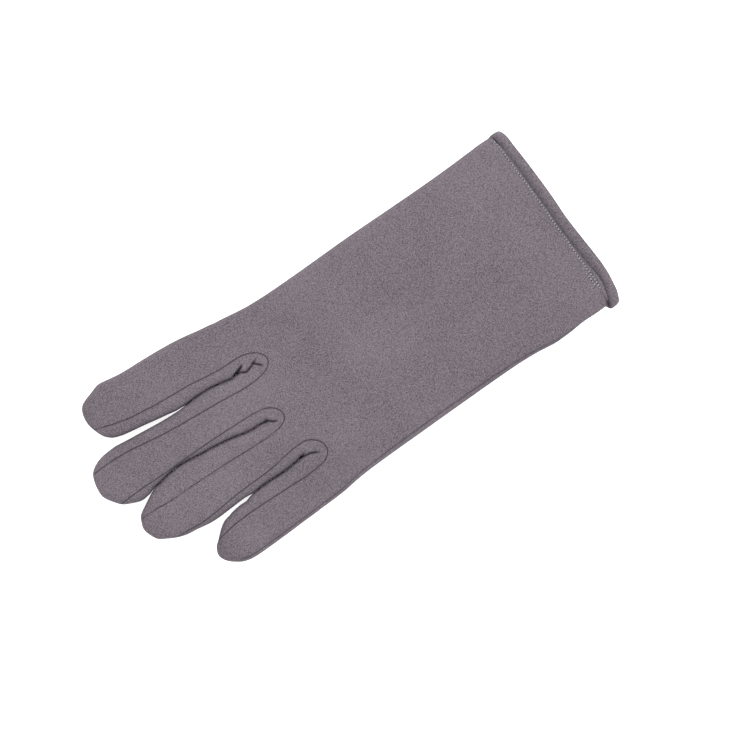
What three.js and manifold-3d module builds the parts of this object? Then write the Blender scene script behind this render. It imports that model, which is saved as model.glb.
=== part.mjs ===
// A wrist-length dress glove of stretch jersey for the left hand. It lies palm down, fingers together,
// with its thumb folded flat under the palm and its wrist vent and button on the underside.
// X runs across the hand towards the index finger, Y from the cuff to the fingertips, Z up. Millimetres.
// The hand cloth and the cloth between the fingers are first one hollow skin, then cut apart at the seams.
import * as THREE from "three";
import { mergeVertices } from "three/addons/utils/BufferGeometryUtils.js";
import Module from "manifold-3d";

// Cloth
const clothWall = 1.0;
const seamGap = 0.3;
const layGap = 0.3; // between two layers that lie on each other
const foldGap = 0.1; // between the back and the palm along the side folds

// Hand, measured flat
const cuffWidth = 90.2;
const palmLength = 156; // cuff edge to the crotch beside the middle finger
const backRise = 5.5; // how far the back stands over the side folds, where it meets the palm
const palmSlack = 0.6; // room between the side folds and the palm where the thumb lifts it
const edgeDip = 1.35; // how far the hand's sides wander off straight
const knuckleShift = 1.55; // the knuckles sit this far to the index side of the cuff
const sideRoll = 12; // width of the rounding at the hand's sides
const valleyLength = 9; // the valley between two fingers fades out over this length
const cuffRise = 1.2; // the cuff edge curves up by this much at its corners

// Fingers: width at the crotch, length from the crotch line, and the rounding at the tip
const fingerRise = 5.1; // as backRise, on the fingers
const fingerGap = 0.8;
const littleWidth = 23.8;
const littleLength = 56.9;
const littleTip = 14.7;
const ringWidth = 19.3;
const ringLength = 77.2;
const ringTip = 17;
const middleWidth = 27.8;
const middleLength = 84.2;
const middleTip = 15.5;
const indexWidth = 23.8;
const indexLength = 70.7;
const indexTip = 12.5;
const fingers = [
  { name: "little", width: littleWidth, length: littleLength, tipLength: littleTip, tipPower: 1.9 },
  { name: "ring", width: ringWidth, length: ringLength, tipLength: ringTip, tipPower: 1.9 },
  { name: "middle", width: middleWidth, length: middleLength, tipLength: middleTip, tipPower: 2.0 },
  { name: "index", width: indexWidth, length: indexLength, tipLength: indexTip, tipPower: 2.0 },
];

// The five lines that bound the fingers, from the little side to the index side. "up" is a share of
// fingerReach above the line's own crotch, "side" and "open" are shares of splay, the strips of stripWidth.
const fingerReach = 84;
const splay = 8;
const stripWidth = 6.2; // width of the cloth strip that shows on a finger's side
const littleCrotchDrop = 2.2;
const indexCrotchRise = 0.4;
const littleSeamDrop = 8.4; // a seam's round end lies this far below its crotch
const ringSeamDrop = 3.4;
const indexSeamDrop = 12;
const fingerLines = [
  {
    name: "outer_little",
    drop: littleCrotchDrop,
    rows: [
      { up: 0, side: 0 },
      { up: 0.2, side: -0.055 },
      { up: 0.5, side: -0.11 },
      { up: 0.7, side: -0.05 },
    ],
  },
  {
    name: "ring_little",
    drop: littleCrotchDrop,
    seamDrop: littleSeamDrop,
    rows: [
      { up: 0, side: 0, open: 0, littleStrip: 1.2, indexStrip: 0.86 },
      { up: 0.08, side: -0.13, open: 0, littleStrip: 1.19, indexStrip: 0.79 },
      { up: 0.2, side: -0.14, open: 0, littleStrip: 1.1, indexStrip: 0.64 },
      { up: 0.4, side: -0.13, open: 0.04, littleStrip: 0.88, indexStrip: 0.55 },
      { up: 0.5, side: -0.23, open: 0.15, littleStrip: 0.7, indexStrip: 0.52 },
      { up: 0.6, side: -0.28, open: 0.18, littleStrip: 0.58, indexStrip: 0.5 },
      { up: 0.8, side: -0.28, open: 0.19, littleStrip: 0.5, indexStrip: 0.5 },
    ],
  },
  {
    name: "middle_ring",
    drop: 0,
    seamDrop: ringSeamDrop,
    rows: [
      { up: 0, side: 0, open: 0, littleStrip: 0.62, indexStrip: 1.0 },
      { up: 0.08, side: 0.33, open: 0, littleStrip: 1.04, indexStrip: 0.93 },
      { up: 0.2, side: 0.42, open: 0, littleStrip: 1.13, indexStrip: 0.8 },
      { up: 0.3, side: 0.71, open: 0, littleStrip: 1.4, indexStrip: 0.65 },
      { up: 0.5, side: 1.03, open: 0, littleStrip: 1.67, indexStrip: 0.5 },
      { up: 0.6, side: 1.03, open: 0, littleStrip: 1.68, indexStrip: 0.5 },
      { up: 0.7, side: 0.95, open: 0, littleStrip: 1.5, indexStrip: 0.5 },
      { up: 0.8, side: 0.62, open: 0, littleStrip: 1.1, indexStrip: 0.6 },
      { up: 1, side: 0.6, open: 0, littleStrip: 0.65, indexStrip: 0.6 },
    ],
  },
  {
    name: "index_middle",
    drop: -indexCrotchRise,
    seamDrop: indexSeamDrop,
    rows: [
      { up: 0, side: 0, open: 0, littleStrip: 1.22, indexStrip: 0.8 },
      { up: 0.08, side: -0.15, open: 0, littleStrip: 1.17, indexStrip: 1 },
      { up: 0.2, side: 0.07, open: 0, littleStrip: 1.15, indexStrip: 1 },
      { up: 0.4, side: 0.12, open: 0.03, littleStrip: 1, indexStrip: 1.02 },
      { up: 0.5, side: 0.28, open: 0.11, littleStrip: 0.93, indexStrip: 0.9 },
      { up: 0.7, side: 0.6, open: 0.17, littleStrip: 0.87, indexStrip: 0.86 },
      { up: 0.8, side: 0.67, open: 0.18, littleStrip: 0.82, indexStrip: 0.8 },
      { up: 1, side: 0.67, open: 0.18, littleStrip: 0.6, indexStrip: 0.7 },
    ],
  },
  {
    name: "outer_index",
    drop: 0,
    rows: [
      { up: 0, side: 0 },
      { up: 0.2, side: 0.38 },
      { up: 0.4, side: 0.62 },
      { up: 0.6, side: 0.75 },
      { up: 0.7, side: 0.87 },
      { up: 0.8, side: 0.82 },
    ],
  },
];

// The hand's two sides from the cuff to the knuckles. "up" is a share of palmLength, "spread" how far the
// width has gone over from the cuff's to the knuckles', and the dips are shares of edgeDip to the index side.
const handSides = [
  { up: 0, spread: 0, littleDip: 0, indexDip: 0 },
  { up: 0.16, spread: 0, littleDip: -0.3, indexDip: 0 },
  { up: 0.38, spread: 0, littleDip: 1, indexDip: 0.5 },
  { up: 0.58, spread: 0, littleDip: 0.9, indexDip: 0.8 },
  { up: 0.76, spread: 0.1, littleDip: 0.8, indexDip: 0.4 },
  { up: 0.88, spread: 0.35, littleDip: 0.7, indexDip: 0.1 },
  { up: 1, spread: 1, littleDip: 0, indexDip: 0 },
];

// Hem: "in" is a share of hemDepth from the cuff edge, "swell" a share of hemSwell outwards
const hemDepth = 6.2;
const hemSwell = 0.8;
const hemCornerSwell = 2.0; // the hem stands this far out at the little side
const hemFold = 0.6; // the folded edge adds this to the wall
const hemFoldDepth = 11.5;
const hemRows = [
  { in: 0, swell: -0.5 },
  { in: 0.08, swell: 0.4 },
  { in: 0.3, swell: 1 },
  { in: 0.75, swell: 0.8 },
  { in: 1, swell: -0.3 },
  { in: 1.25, swell: 0 },
];

// Thumb, folded under the palm
const thumbRoot = new THREE.Vector2(23.8, 72.2); // centre of the thumb hole's round wrist end
const thumbAngle = THREE.MathUtils.degToRad(31.3); // turned from the fingers' direction to the little side
const thumbReach = 99; // root to tip
const thumbHoleRadius = 14.5;
const thumbHoleRun = 15; // distance between the hole's two round ends
const thumbTipWidth = 23;
const thumbHeight = 3.0;
const thumbRise = 12; // past the root by this much, the thumb has its full height
const thumbTipBluntness = 0.9; // 1 closes the tip to an edge
const liftShelf = 3.5; // the palm stays level this far past the thumb and the button
const thumbSlope = 9; // and comes down to the floor over these widths
const buttonSlope = 6;

// Wrist vent, with the turned strip that faces it
const ventLength = 46.7;
const ventWidth = 10.2;
const ventMouthDepth = 12;
const buttonFlapCurve = 20; // the mouth's rounding reaches this far past the slot on the button's side
const holeFlapCurve = 9; // and on the buttonhole's side
const facingWidth = 6.5;
const facingWall = 0.9;
const facingSetback = 1.2; // from the cuff edge

// Button, thread and buttonhole. The button's face is down.
const buttonDiameter = 12.4;
const buttonThickness = 2.2;
const buttonPlace = new THREE.Vector2(13.1, 22.2);
const buttonRim = 1.1;
const buttonDish = 0.4;
const eyeLength = 6.4;
const eyeWidth = 2.8;
const eyeDepth = 0.7;
const threadHoleRadius = 0.8;
const threadHoleSpacing = 3.2;
const threadRadius = 0.4;
const shankLength = 0.7;
const buttonholeLength = 14;
const buttonholeWidth = 1.0;
const buttonholePlace = new THREE.Vector2(-16.6, 19.8);

// How the solids are faceted
const topPower = 3; // squareness of the rounded back
const floorPower = 4; // squareness of the underside, flattened where it rests
const outerColumns = 6; // across each finger
const innerColumns = 4;
const rowSpacing = 11; // down the hand
const seamSteps = 8;
const valleySteps = [0, 0.17, 0.45, 0.9, 1.5]; // shares of valleyLength below the crotches
const fingerSteps = [0.06, 0.19, 0.38, 0.58, 0.78, 1]; // shares of the way from crotch to tip rounding
const tipSteps = [22, 42, 58, 72, 90]; // degrees round the tip
const thumbEndSteps = [0, 25, 50, 70, 90]; // and round each end of the thumb
const crotchPull = 1.2; // inner skins stay this many times their inset clear of the crotches
const innerOverrun = 2;

const lerp = THREE.MathUtils.lerp;
const smooth = THREE.MathUtils.smoothstep;
const edgeHeight = thumbHeight + layGap + clothWall + palmSlack;
const wasm = await Module();
wasm.setup();

// A smooth curve through one column of a table, read at "at" on its first column.
function follow(rows, key, column, at) {
  const last = rows.length - 1;
  if (at <= rows[0][key]) return rows[0][column];
  if (at >= rows[last][key]) return rows[last][column];
  const i = rows.findIndex((row) => row[key] > at) - 1;
  const slope = (j) => {
    const a = rows[Math.max(j - 1, 0)];
    const b = rows[Math.min(j + 1, last)];
    return (b[column] - a[column]) / (b[key] - a[key]);
  };
  const run = rows[i + 1][key] - rows[i][key];
  const s = (at - rows[i][key]) / run;
  const from = (2 * s ** 3 - 3 * s ** 2 + 1) * rows[i][column] + (s ** 3 - 2 * s ** 2 + s) * run * slope(i);
  const to = (3 * s ** 2 - 2 * s ** 3) * rows[i + 1][column] + (s ** 3 - s ** 2) * run * slope(i + 1);
  return from + to;
}

// Height share of a rounded profile, 1 in the middle and 0 at the edge (t = 1).
const rounded = (t, power) => (1 - Math.min(Math.abs(t), 1) ** power) ** (1 / power);

const knuckleWidth = fingers.reduce((sum, finger) => sum + finger.width, 0);
const knuckleLeft = knuckleShift - knuckleWidth / 2;
const lineStarts = fingers.reduce((xs, finger) => [...xs, xs.at(-1) + finger.width], [knuckleLeft]);
const crotchOf = (line) => palmLength - fingerLines[line].drop;

// Where finger line number "line" runs at height y up the glove.
function lineAt(line, y) {
  const { rows } = fingerLines[line];
  const up = (y - crotchOf(line)) / fingerReach;
  const open = rows[0].open === undefined ? 0 : splay * follow(rows, "up", "open", up);
  return { x: lineStarts[line] + splay * follow(rows, "up", "side", up), open };
}

function handEdges(y) {
  const up = y / palmLength;
  const spread = follow(handSides, "up", "spread", up);
  const left = lerp(-cuffWidth / 2, lineStarts[0], spread);
  const right = lerp(cuffWidth / 2, lineStarts[4], spread);
  return {
    left: left + edgeDip * follow(handSides, "up", "littleDip", up),
    right: right + edgeDip * follow(handSides, "up", "indexDip", up),
  };
}

// The thumb's own axes: "along" from its root to its tip, "off" sideways to the index side.
const thumbWay = new THREE.Vector2(-Math.sin(thumbAngle), Math.cos(thumbAngle));
function onThumb(x, y) {
  const from = new THREE.Vector2(x, y).sub(thumbRoot);
  return { along: from.dot(thumbWay), off: from.dot(new THREE.Vector2(thumbWay.y, -thumbWay.x)) };
}
const thumbBaseRadius = thumbHoleRadius - seamGap;
const thumbTipRadius = thumbTipWidth / 2;
const thumbGrown = (along) => smooth(along, -thumbHoleRadius, thumbRise);

// How far the palm is lifted off the floor by the thumb and the button under it.
function lift(x, y) {
  const { along, off } = onThumb(x, y);
  const beyond = along - THREE.MathUtils.clamp(along, 0, thumbReach - thumbTipRadius);
  const past = Math.hypot(beyond, off) - thumbBaseRadius;
  const overThumb = 1 - smooth(past, liftShelf, liftShelf + thumbSlope);
  const apart = buttonPlace.distanceTo(new THREE.Vector2(x, y)) - buttonDiameter / 2;
  const overButton = 1 - smooth(apart, liftShelf, liftShelf + buttonSlope);
  return Math.max(
    (thumbHeight + layGap) * thumbGrown(along) * overThumb,
    (buttonThickness + shankLength) * overButton,
  );
}

// A mesh under construction: shared vertices and the faces between them.
function newSkin() {
  const points = [];
  const faces = [];
  return {
    point: (x, y, z) => points.push(x, y, z) / 3 - 1,
    // The faces between two rows of vertices. Seen from outside, "near" is below "far" and both run right.
    band(near, far) {
      for (let i = 0; i + 1 < near.length; i++)
        for (const corners of [
          [near[i], near[i + 1], far[i + 1]],
          [near[i], far[i + 1], far[i]],
        ])
          if (new Set(corners).size === 3) faces.push(...corners);
    },
    solid() {
      const made = new wasm.Mesh({
        numProp: 3,
        vertProperties: new Float32Array(points),
        triVerts: new Uint32Array(faces),
      });
      return new wasm.Manifold(made);
    },
  };
}

// Columns across one finger, closer together where it rounds off: -1 at its little side, 1 at its index side.
const columnShares = (count) =>
  Array.from({ length: count + 1 }, (_, j) => {
    const c = -Math.cos((Math.PI * j) / count);
    return Math.sign(c) * Math.abs(c) ** (2 / topPower);
  });

// Where the inset skin's crotches lie at x, on the line through them.
function crotchLine(x, inset) {
  const f = Math.max(lineStarts.findLastIndex((start, i) => i < fingers.length && x >= start), 0);
  const share = (x - lineStarts[f]) / (lineStarts[f + 1] - lineStarts[f]);
  return lerp(crotchOf(f), crotchOf(f + 1), share) - crotchPull * inset;
}

// The hand's rows, as distances below the crotches: down the valleys, down the hand and through the hem.
function handRows(overrun) {
  const rows = valleySteps.map((share) => share * valleyLength);
  const start = rows.at(-1);
  const plain = palmLength - hemFoldDepth - start;
  const count = Math.round(plain / rowSpacing);
  for (let i = 1; i <= count; i++) rows.push(start + (i * plain) / count);
  for (const row of [...hemRows].reverse()) rows.push(palmLength - row.in * hemDepth);
  return overrun ? [...rows, palmLength + overrun] : rows;
}

// Adds the hand from the crotches to the cuff, and returns its topmost rows of vertices.
function addHand(skin, inset, across) {
  const perFinger = across.length - 1;
  const columns = fingers.length * perFinger;
  const half = perFinger / 2;
  const rows = handRows(inset > 0 ? innerOverrun : 0);

  // A column's place across the hand, as a share: as on the fingers at the crotches, evenly spread below
  const crotchShare = (c) => {
    const f = Math.min(Math.floor(c / perFinger), fingers.length - 1);
    const x = lerp(lineStarts[f], lineStarts[f + 1], (across[c - f * perFinger] + 1) / 2);
    return (x - lineStarts[0]) / knuckleWidth;
  };
  const evenShare = (c) =>
    c <= half || c >= columns - half
      ? crotchShare(c)
      : lerp(crotchShare(half), crotchShare(columns - half), (c - half) / (columns - 2 * half));

  const top = [];
  const under = [];
  rows.forEach((below, i) => {
    top.push([]);
    under.push([]);
    for (let c = 0; c <= columns; c++) {
      const start = crotchLine(lineStarts[0] + crotchShare(c) * knuckleWidth, inset);
      const y = start * (1 - below / palmLength);
      const hemmed = inset === 0 && y < hemRows.at(-1).in * hemDepth;
      const swell = hemmed ? follow(hemRows, "in", "swell", y / hemDepth) : 0;
      const wall = inset + (inset > 0 && y < hemFoldDepth ? hemFold : 0);
      const { left, right } = handEdges(y);
      const leftEdge = left + wall - hemCornerSwell * swell;
      const rightEdge = right - wall + hemSwell * swell;
      const settled = smooth(below, 0, 4 * valleyLength);
      const x = lerp(leftEdge, rightEdge, lerp(crotchShare(c), evenShare(c), settled));

      // Near the crotches each finger's own round section, further down the hand's round sides
      const column = across[c % perFinger];
      const side = 1 - Math.min(Math.min(x - leftEdge, rightEdge - x) / sideRoll, 1);
      const outOfValley = smooth(below, 0, valleyLength);
      const topShare = lerp(rounded(column, topPower), rounded(side, topPower), outOfValley);
      const underShare = lerp(rounded(column, floorPower), rounded(side, floorPower), outOfValley);
      const rise = lerp(fingerRise, backRise, smooth(below, 0, 2 * valleyLength)) + hemSwell * swell;
      const offMiddle = (2 * x - leftEdge - rightEdge) / (rightEdge - leftEdge);
      const bowedY = y + cuffRise * offMiddle ** 6 * (1 - smooth(y, 0, hemFoldDepth));
      const topZ = edgeHeight + (rise - wall) * topShare;
      const underZ = edgeHeight - (edgeHeight - lift(x, y) - wall) * underShare;
      const joined = c === 0 || c === columns || (i === 0 && c % perFinger === 0);
      const placed = skin.point(x, bowedY, joined ? edgeHeight : topZ);
      top[i].push(placed);
      under[i].push(joined ? placed : skin.point(x, bowedY, underZ));
    }
  });
  for (let i = 0; i + 1 < rows.length; i++) {
    skin.band(top[i + 1], top[i]);
    skin.band(under[i], under[i + 1]);
  }
  skin.band(under.at(-1), top.at(-1));
  return { top: top[0], under: under[0] };
}

// Adds finger number f on to the rows that the hand ends in.
function addFinger(skin, f, inset, across, topRow, underRow) {
  const { length, tipLength, tipPower } = fingers[f];
  const roundFrom = palmLength + length - tipLength;
  const tip = palmLength + length - inset;
  const apart = (line) => (line === 0 || line === fingers.length ? 0 : fingerGap / 2);
  const rows = [
    ...fingerSteps.map((share) => ({ share, bend: 0 })),
    ...tipSteps.map((degrees) => ({ share: 1, bend: Math.sin(THREE.MathUtils.degToRad(degrees)) })),
  ];
  let lastTop = topRow;
  let lastUnder = underRow;
  rows.forEach(({ share, bend }, i) => {
    const closed = i === rows.length - 1;
    const low = rounded(bend, topPower);
    const nextTop = [];
    const nextUnder = [];
    across.forEach((column, j) => {
      const start = crotchLine(lerp(lineStarts[f], lineStarts[f + 1], (column + 1) / 2), inset);
      const y = lerp(start, roundFrom, share) + (tip - roundFrom) * bend;
      const leftLine = lineAt(f, y);
      const rightLine = lineAt(f + 1, y);
      const left = leftLine.x + leftLine.open + apart(f) + inset;
      const right = rightLine.x - rightLine.open - apart(f + 1) - inset;
      const x = (left + right) / 2 + ((right - left) / 2) * rounded(bend, tipPower) * column;
      const topZ = edgeHeight + (fingerRise - inset) * rounded(column, topPower) * low;
      const underZ = edgeHeight - (edgeHeight - lift(x, y) - inset) * rounded(column, floorPower) * low;
      const joined = j === 0 || j === across.length - 1;
      if (closed && j > 0) {
        nextTop.push(nextTop[0]);
        nextUnder.push(nextTop[0]);
        return;
      }
      const placed = skin.point(x, y, closed || joined ? edgeHeight : topZ);
      nextTop.push(placed);
      nextUnder.push(closed || joined ? placed : skin.point(x, y, underZ));
    });
    skin.band(lastTop, nextTop);
    skin.band(nextUnder, lastUnder);
    lastTop = nextTop;
    lastUnder = nextUnder;
  });
}

// The whole glove without its thumb as one closed solid, "inset" inside the outer surface.
// An inset one runs out past the cuff edge, so that taking it away opens the cuff.
function gloveSolid(inset, columnsPerFinger) {
  const skin = newSkin();
  const across = columnShares(columnsPerFinger);
  const { top, under } = addHand(skin, inset, across);
  fingers.forEach((finger, f) => {
    const own = [f * columnsPerFinger, (f + 1) * columnsPerFinger + 1];
    addFinger(skin, f, inset, across, top.slice(...own), under.slice(...own));
  });
  return skin.solid();
}

// The folded thumb as one closed solid, a flat tube from the round end of its hole to its tip.
function thumbSolid(inset, from) {
  const skin = newSkin();
  const across = columnShares(outerColumns);
  const round = thumbEndSteps.map((degrees) => THREE.MathUtils.degToRad(degrees));
  const tipCentre = thumbReach - thumbTipRadius;
  const base = thumbBaseRadius - inset;
  const tipRadius = thumbTipRadius - inset;
  const rows = [
    ...round.map((a) => ({ along: from - base * Math.cos(a), half: base * Math.sin(a) })),
    ...[0.12, 0.3, 0.5, 0.75].map((share) => ({
      along: lerp(from, tipCentre, share),
      half: lerp(base, tipRadius, smooth(share, 0, 0.6)),
    })),
    ...round.map((a) => ({ along: tipCentre + tipRadius * Math.sin(a), half: tipRadius * Math.cos(a) })),
  ];
  rows.at(-1).half = 0;
  let lastTop, lastUnder;
  rows.forEach((row, i) => {
    const ended = i === 0 || i === rows.length - 1;
    const tall = clothWall + (thumbHeight - clothWall) * thumbGrown(row.along) - inset;
    const middle = (tall + inset) / 2;
    const nearTip = (row.along - tipCentre) / thumbTipRadius;
    const low = nearTip > 0 ? rounded(nearTip * thumbTipBluntness, 2) : 1;
    let shared;
    const nextTop = [];
    const nextUnder = [];
    across.forEach((column, j) => {
      const off = row.half * column;
      const x = thumbRoot.x + thumbWay.x * row.along + thumbWay.y * off;
      const y = thumbRoot.y + thumbWay.y * row.along - thumbWay.x * off;
      const share = rounded(column, floorPower) * low;
      if (ended) shared ??= skin.point(x, y, middle);
      const joined = j === 0 || j === across.length - 1;
      const placed = ended ? shared : skin.point(x, y, joined ? middle : lerp(middle, tall, share));
      nextTop.push(placed);
      nextUnder.push(ended || joined ? placed : skin.point(x, y, lerp(middle, inset, share)));
    });
    if (i > 0) {
      skin.band(lastTop, nextTop);
      skin.band(nextUnder, lastUnder);
    }
    lastTop = nextTop;
    lastUnder = nextUnder;
  });
  return skin.solid();
}

// A three.js geometry as a solid.
function solidOf(geometry) {
  const bare = geometry.clone();
  bare.deleteAttribute("normal");
  bare.deleteAttribute("uv");
  const merged = mergeVertices(bare, 1e-4);
  const made = new wasm.Mesh({
    numProp: 3,
    vertProperties: merged.attributes.position.array,
    triVerts: new Uint32Array(merged.index.array),
  });
  return new wasm.Manifold(made);
}

// An upright prism on a flat outline, from height "from" to height "to".
function prism(shape, from, to, curveSegments = 8) {
  const geometry = new THREE.ExtrudeGeometry(shape, { depth: to - from, bevelEnabled: false, curveSegments });
  return solidOf(geometry.translate(0, 0, from));
}

// The seam around the cloth between two fingers: up the one finger, round the crotch and up the other.
function stripOutline(line, grow) {
  const { rows, seamDrop } = fingerLines[line];
  const longest = Math.max(fingers[line - 1].length, fingers[line].length);
  const seamAt = (y, column) => {
    const up = (y - crotchOf(line)) / fingerReach;
    const { open } = lineAt(line, y);
    return open + fingerGap / 2 + stripWidth * follow(rows, "up", column, up) + grow;
  };
  const left = (y) => lineAt(line, y).x - seamAt(y, "littleStrip");
  const right = (y) => lineAt(line, y).x + seamAt(y, "indexStrip");
  const crotch = crotchOf(line);
  const halfWidth = (right(crotch) - left(crotch)) / 2;
  const centre = (right(crotch) + left(crotch)) / 2;
  const bendY = crotch - seamDrop + halfWidth - grow;
  const endY = palmLength + longest + clothWall;
  const points = [];
  for (let i = 0; i <= seamSteps; i++) {
    const y = lerp(endY, Math.max(crotch, bendY), i / seamSteps);
    points.push(new THREE.Vector2(left(y), y));
  }
  const bendTop = Math.min(crotch, bendY);
  const reach = bendTop - (crotch - seamDrop - grow);
  for (let i = 0; i <= seamSteps; i++) {
    const a = Math.PI + (Math.PI * i) / seamSteps;
    points.push(new THREE.Vector2(centre + halfWidth * Math.cos(a), bendTop + reach * Math.sin(a)));
  }
  for (let i = seamSteps; i >= 0; i--) {
    const y = lerp(endY, Math.max(crotch, bendY), i / seamSteps);
    points.push(new THREE.Vector2(right(y), y));
  }
  return new THREE.Shape(points.filter((p, i) => i === 0 || p.distanceTo(points[i - 1]) > 0.05));
}

// A capsule along the thumb, for the thumb hole and the opening of the tube inside it.
function thumbHole(radius) {
  const shape = new THREE.Shape();
  shape.absarc(0, 0, radius, Math.PI, 2 * Math.PI, false);
  shape.absarc(0, thumbHoleRun, radius, 0, Math.PI, false);
  const origin = new THREE.Vector2();
  return new THREE.Shape(shape.getPoints(9).map((p) => p.rotateAround(origin, thumbAngle).add(thumbRoot)));
}

// The vent's outline, "grow" outside its edge: a slot with a round end and a mouth that flares to the cuff.
function ventOutline(grow) {
  const half = ventWidth / 2 + grow;
  const right = half + buttonFlapCurve;
  const left = -half - holeFlapCurve;
  const bendY = ventLength - ventWidth / 2;
  const turn = ventMouthDepth * 0.3 + grow;
  const shape = new THREE.Shape();
  shape.moveTo(right, -hemDepth);
  shape.lineTo(right, grow);
  shape.bezierCurveTo(right - buttonFlapCurve * 0.6, turn, half, turn, half, ventMouthDepth + grow);
  shape.lineTo(half, bendY);
  shape.absarc(0, bendY, half, 0, Math.PI, false);
  shape.lineTo(-half, ventMouthDepth + grow);
  shape.bezierCurveTo(-half, turn, left + holeFlapCurve * 0.6, turn, left, grow);
  shape.lineTo(left, -hemDepth);
  return shape;
}

function rectangle(centre, width, length) {
  const shape = new THREE.Shape();
  shape.moveTo(centre.x - width / 2, centre.y - length / 2);
  shape.lineTo(centre.x + width / 2, centre.y - length / 2);
  shape.lineTo(centre.x + width / 2, centre.y + length / 2);
  shape.lineTo(centre.x - width / 2, centre.y + length / 2);
  return shape;
}

const floorUnder = -1; // cuts start under the floor
const overAll = edgeHeight + backRise + hemSwell + 1;
const throughPalm = edgeHeight + 0.25 * backRise; // above the palm and its facing, below the back
const glove = new THREE.Group();
const material = {
  jersey: new THREE.MeshStandardMaterial({ color: 0x80757e, roughness: 0.95, metalness: 0 }),
  facing: new THREE.MeshStandardMaterial({ color: 0x786d76, roughness: 0.95, metalness: 0 }),
  button: new THREE.MeshStandardMaterial({ color: 0x5f6a6e, roughness: 0.35, metalness: 0 }),
  thread: new THREE.MeshStandardMaterial({ color: 0x9aa0a8, roughness: 0.8, metalness: 0 }),
};

function addPiece(name, solid, look) {
  const { vertProperties, triVerts } = solid.getMesh();
  const geometry = new THREE.BufferGeometry();
  geometry.setAttribute("position", new THREE.BufferAttribute(vertProperties, 3));
  geometry.setIndex(new THREE.BufferAttribute(triVerts, 1));
  const mesh = new THREE.Mesh(geometry, material[look]);
  mesh.name = name;
  glove.add(mesh);
}

// Hand cloth, cut at its side folds into back and palm, and the strips between the fingers
const hollow = gloveSolid(0, outerColumns).subtract(gloveSolid(clothWall, innerColumns));
const vent = prism(ventOutline(0), floorUnder, throughPalm);
const slot = rectangle(buttonholePlace, buttonholeLength, buttonholeWidth);
const buttonhole = prism(slot, floorUnder, throughPalm);
let trank = hollow
  .subtract(vent)
  .subtract(buttonhole)
  .subtract(prism(thumbHole(thumbHoleRadius), floorUnder, throughPalm));
for (let line = 1; line < fingers.length; line++) {
  trank = trank.subtract(prism(stripOutline(line, seamGap / 2), floorUnder, overAll));
  const strip = hollow.intersect(prism(stripOutline(line, -seamGap / 2), floorUnder, overAll));
  addPiece("fourchette_" + fingerLines[line].name, strip, "jersey");
}
const [back, palm] = trank.splitByPlane([0, 0, 1], edgeHeight);
addPiece("trank_back", back.translate([0, 0, foldGap]), "jersey");
addPiece("trank_palm", palm, "jersey");

// Thumb
const thumbInside = thumbSolid(clothWall, thumbHoleRun);
const thumbMouth = prism(thumbHole(thumbBaseRadius - clothWall), clothWall, overAll);
addPiece("thumb", thumbSolid(0, 0).subtract(thumbInside).subtract(thumbMouth), "jersey");

// Facing strip, laid against the inside of the palm around the vent
const facingInset = clothWall + layGap;
const facingTop = gloveSolid(facingInset + facingWall, innerColumns);
const facingLayer = gloveSolid(facingInset, innerColumns).subtract(facingTop);
const facingBand = prism(ventOutline(facingWidth), floorUnder, throughPalm).subtract(vent);
const marginMiddle = new THREE.Vector2(0, (facingSetback - hemDepth) / 2);
const cuffMargin = rectangle(marginMiddle, 2 * cuffWidth, facingSetback + hemDepth);
const facing = facingLayer
  .intersect(facingBand)
  .subtract(buttonhole)
  .subtract(prism(cuffMargin, floorUnder, overAll));
addPiece("vent_facing", facing, "facing");

// Button
const radius = buttonDiameter / 2;
const buttonProfile = [
  [0, buttonThickness],
  [radius * 0.72, buttonThickness],
  [radius, buttonThickness * 0.6],
  [radius, buttonThickness * 0.2],
  [radius - buttonRim * 0.35, 0],
  [radius - buttonRim * 0.7, 0],
  [radius - buttonRim, buttonDish],
  [0, buttonDish],
].map(([r, z]) => new THREE.Vector2(r, z));
const disc = solidOf(new THREE.LatheGeometry(buttonProfile.reverse(), 28).rotateX(Math.PI / 2));
const eye = new THREE.Shape();
eye.moveTo(0, -eyeLength / 2);
eye.quadraticCurveTo(eyeWidth, 0, 0, eyeLength / 2);
eye.quadraticCurveTo(-eyeWidth, 0, 0, -eyeLength / 2);
let button = disc.subtract(prism(eye, floorUnder, buttonDish + eyeDepth, 6));
const threadPlaces = [-1, 1].map((side) => (side * threadHoleSpacing) / 2);
for (const y of threadPlaces) {
  const hole = new THREE.Shape().absarc(0, y, threadHoleRadius, 0, 2 * Math.PI, false);
  button = button.subtract(prism(hole, floorUnder, buttonThickness + 1, 5));
}
addPiece("button", button.translate([buttonPlace.x, buttonPlace.y, 0]), "button");

// Thread: a bar across the button's eye and two legs through its holes, up to the palm
const legTop = buttonThickness + shankLength - layGap;
const barTop = buttonDish + eyeDepth - layGap;
const barFoot = barTop - 2 * threadRadius * 0.8;
let thread = prism(
  rectangle(new THREE.Vector2(), 2 * threadRadius, threadHoleSpacing + 2 * threadRadius),
  barFoot,
  barTop,
);
for (const y of threadPlaces) {
  const leg = new THREE.Shape().absarc(0, y, threadRadius, 0, 2 * Math.PI, false);
  thread = thread.add(prism(leg, (barFoot + barTop) / 2, legTop, 4));
}
addPiece("button_thread", thread.translate([buttonPlace.x, buttonPlace.y, 0]), "thread");

// The origin is the bottom centre of the whole glove's box
glove.updateMatrixWorld(true);
const box = new THREE.Box3().setFromObject(glove, true);
const centre = box.getCenter(new THREE.Vector3());
glove.position.set(-centre.x, -centre.y, -box.min.z);

export default glove;
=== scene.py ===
# A wrist-length dress glove of stretch jersey for the left hand, lying palm down on a white table.
# The sizes below are millimetres in the glove's own frame: X from the middle of the cuff towards the
# index finger, Y from the cuff edge to the fingertips, Z up from the table.
import math

import bmesh
import bpy
import numpy as np
from mathutils import Matrix, Vector, geometry


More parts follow.
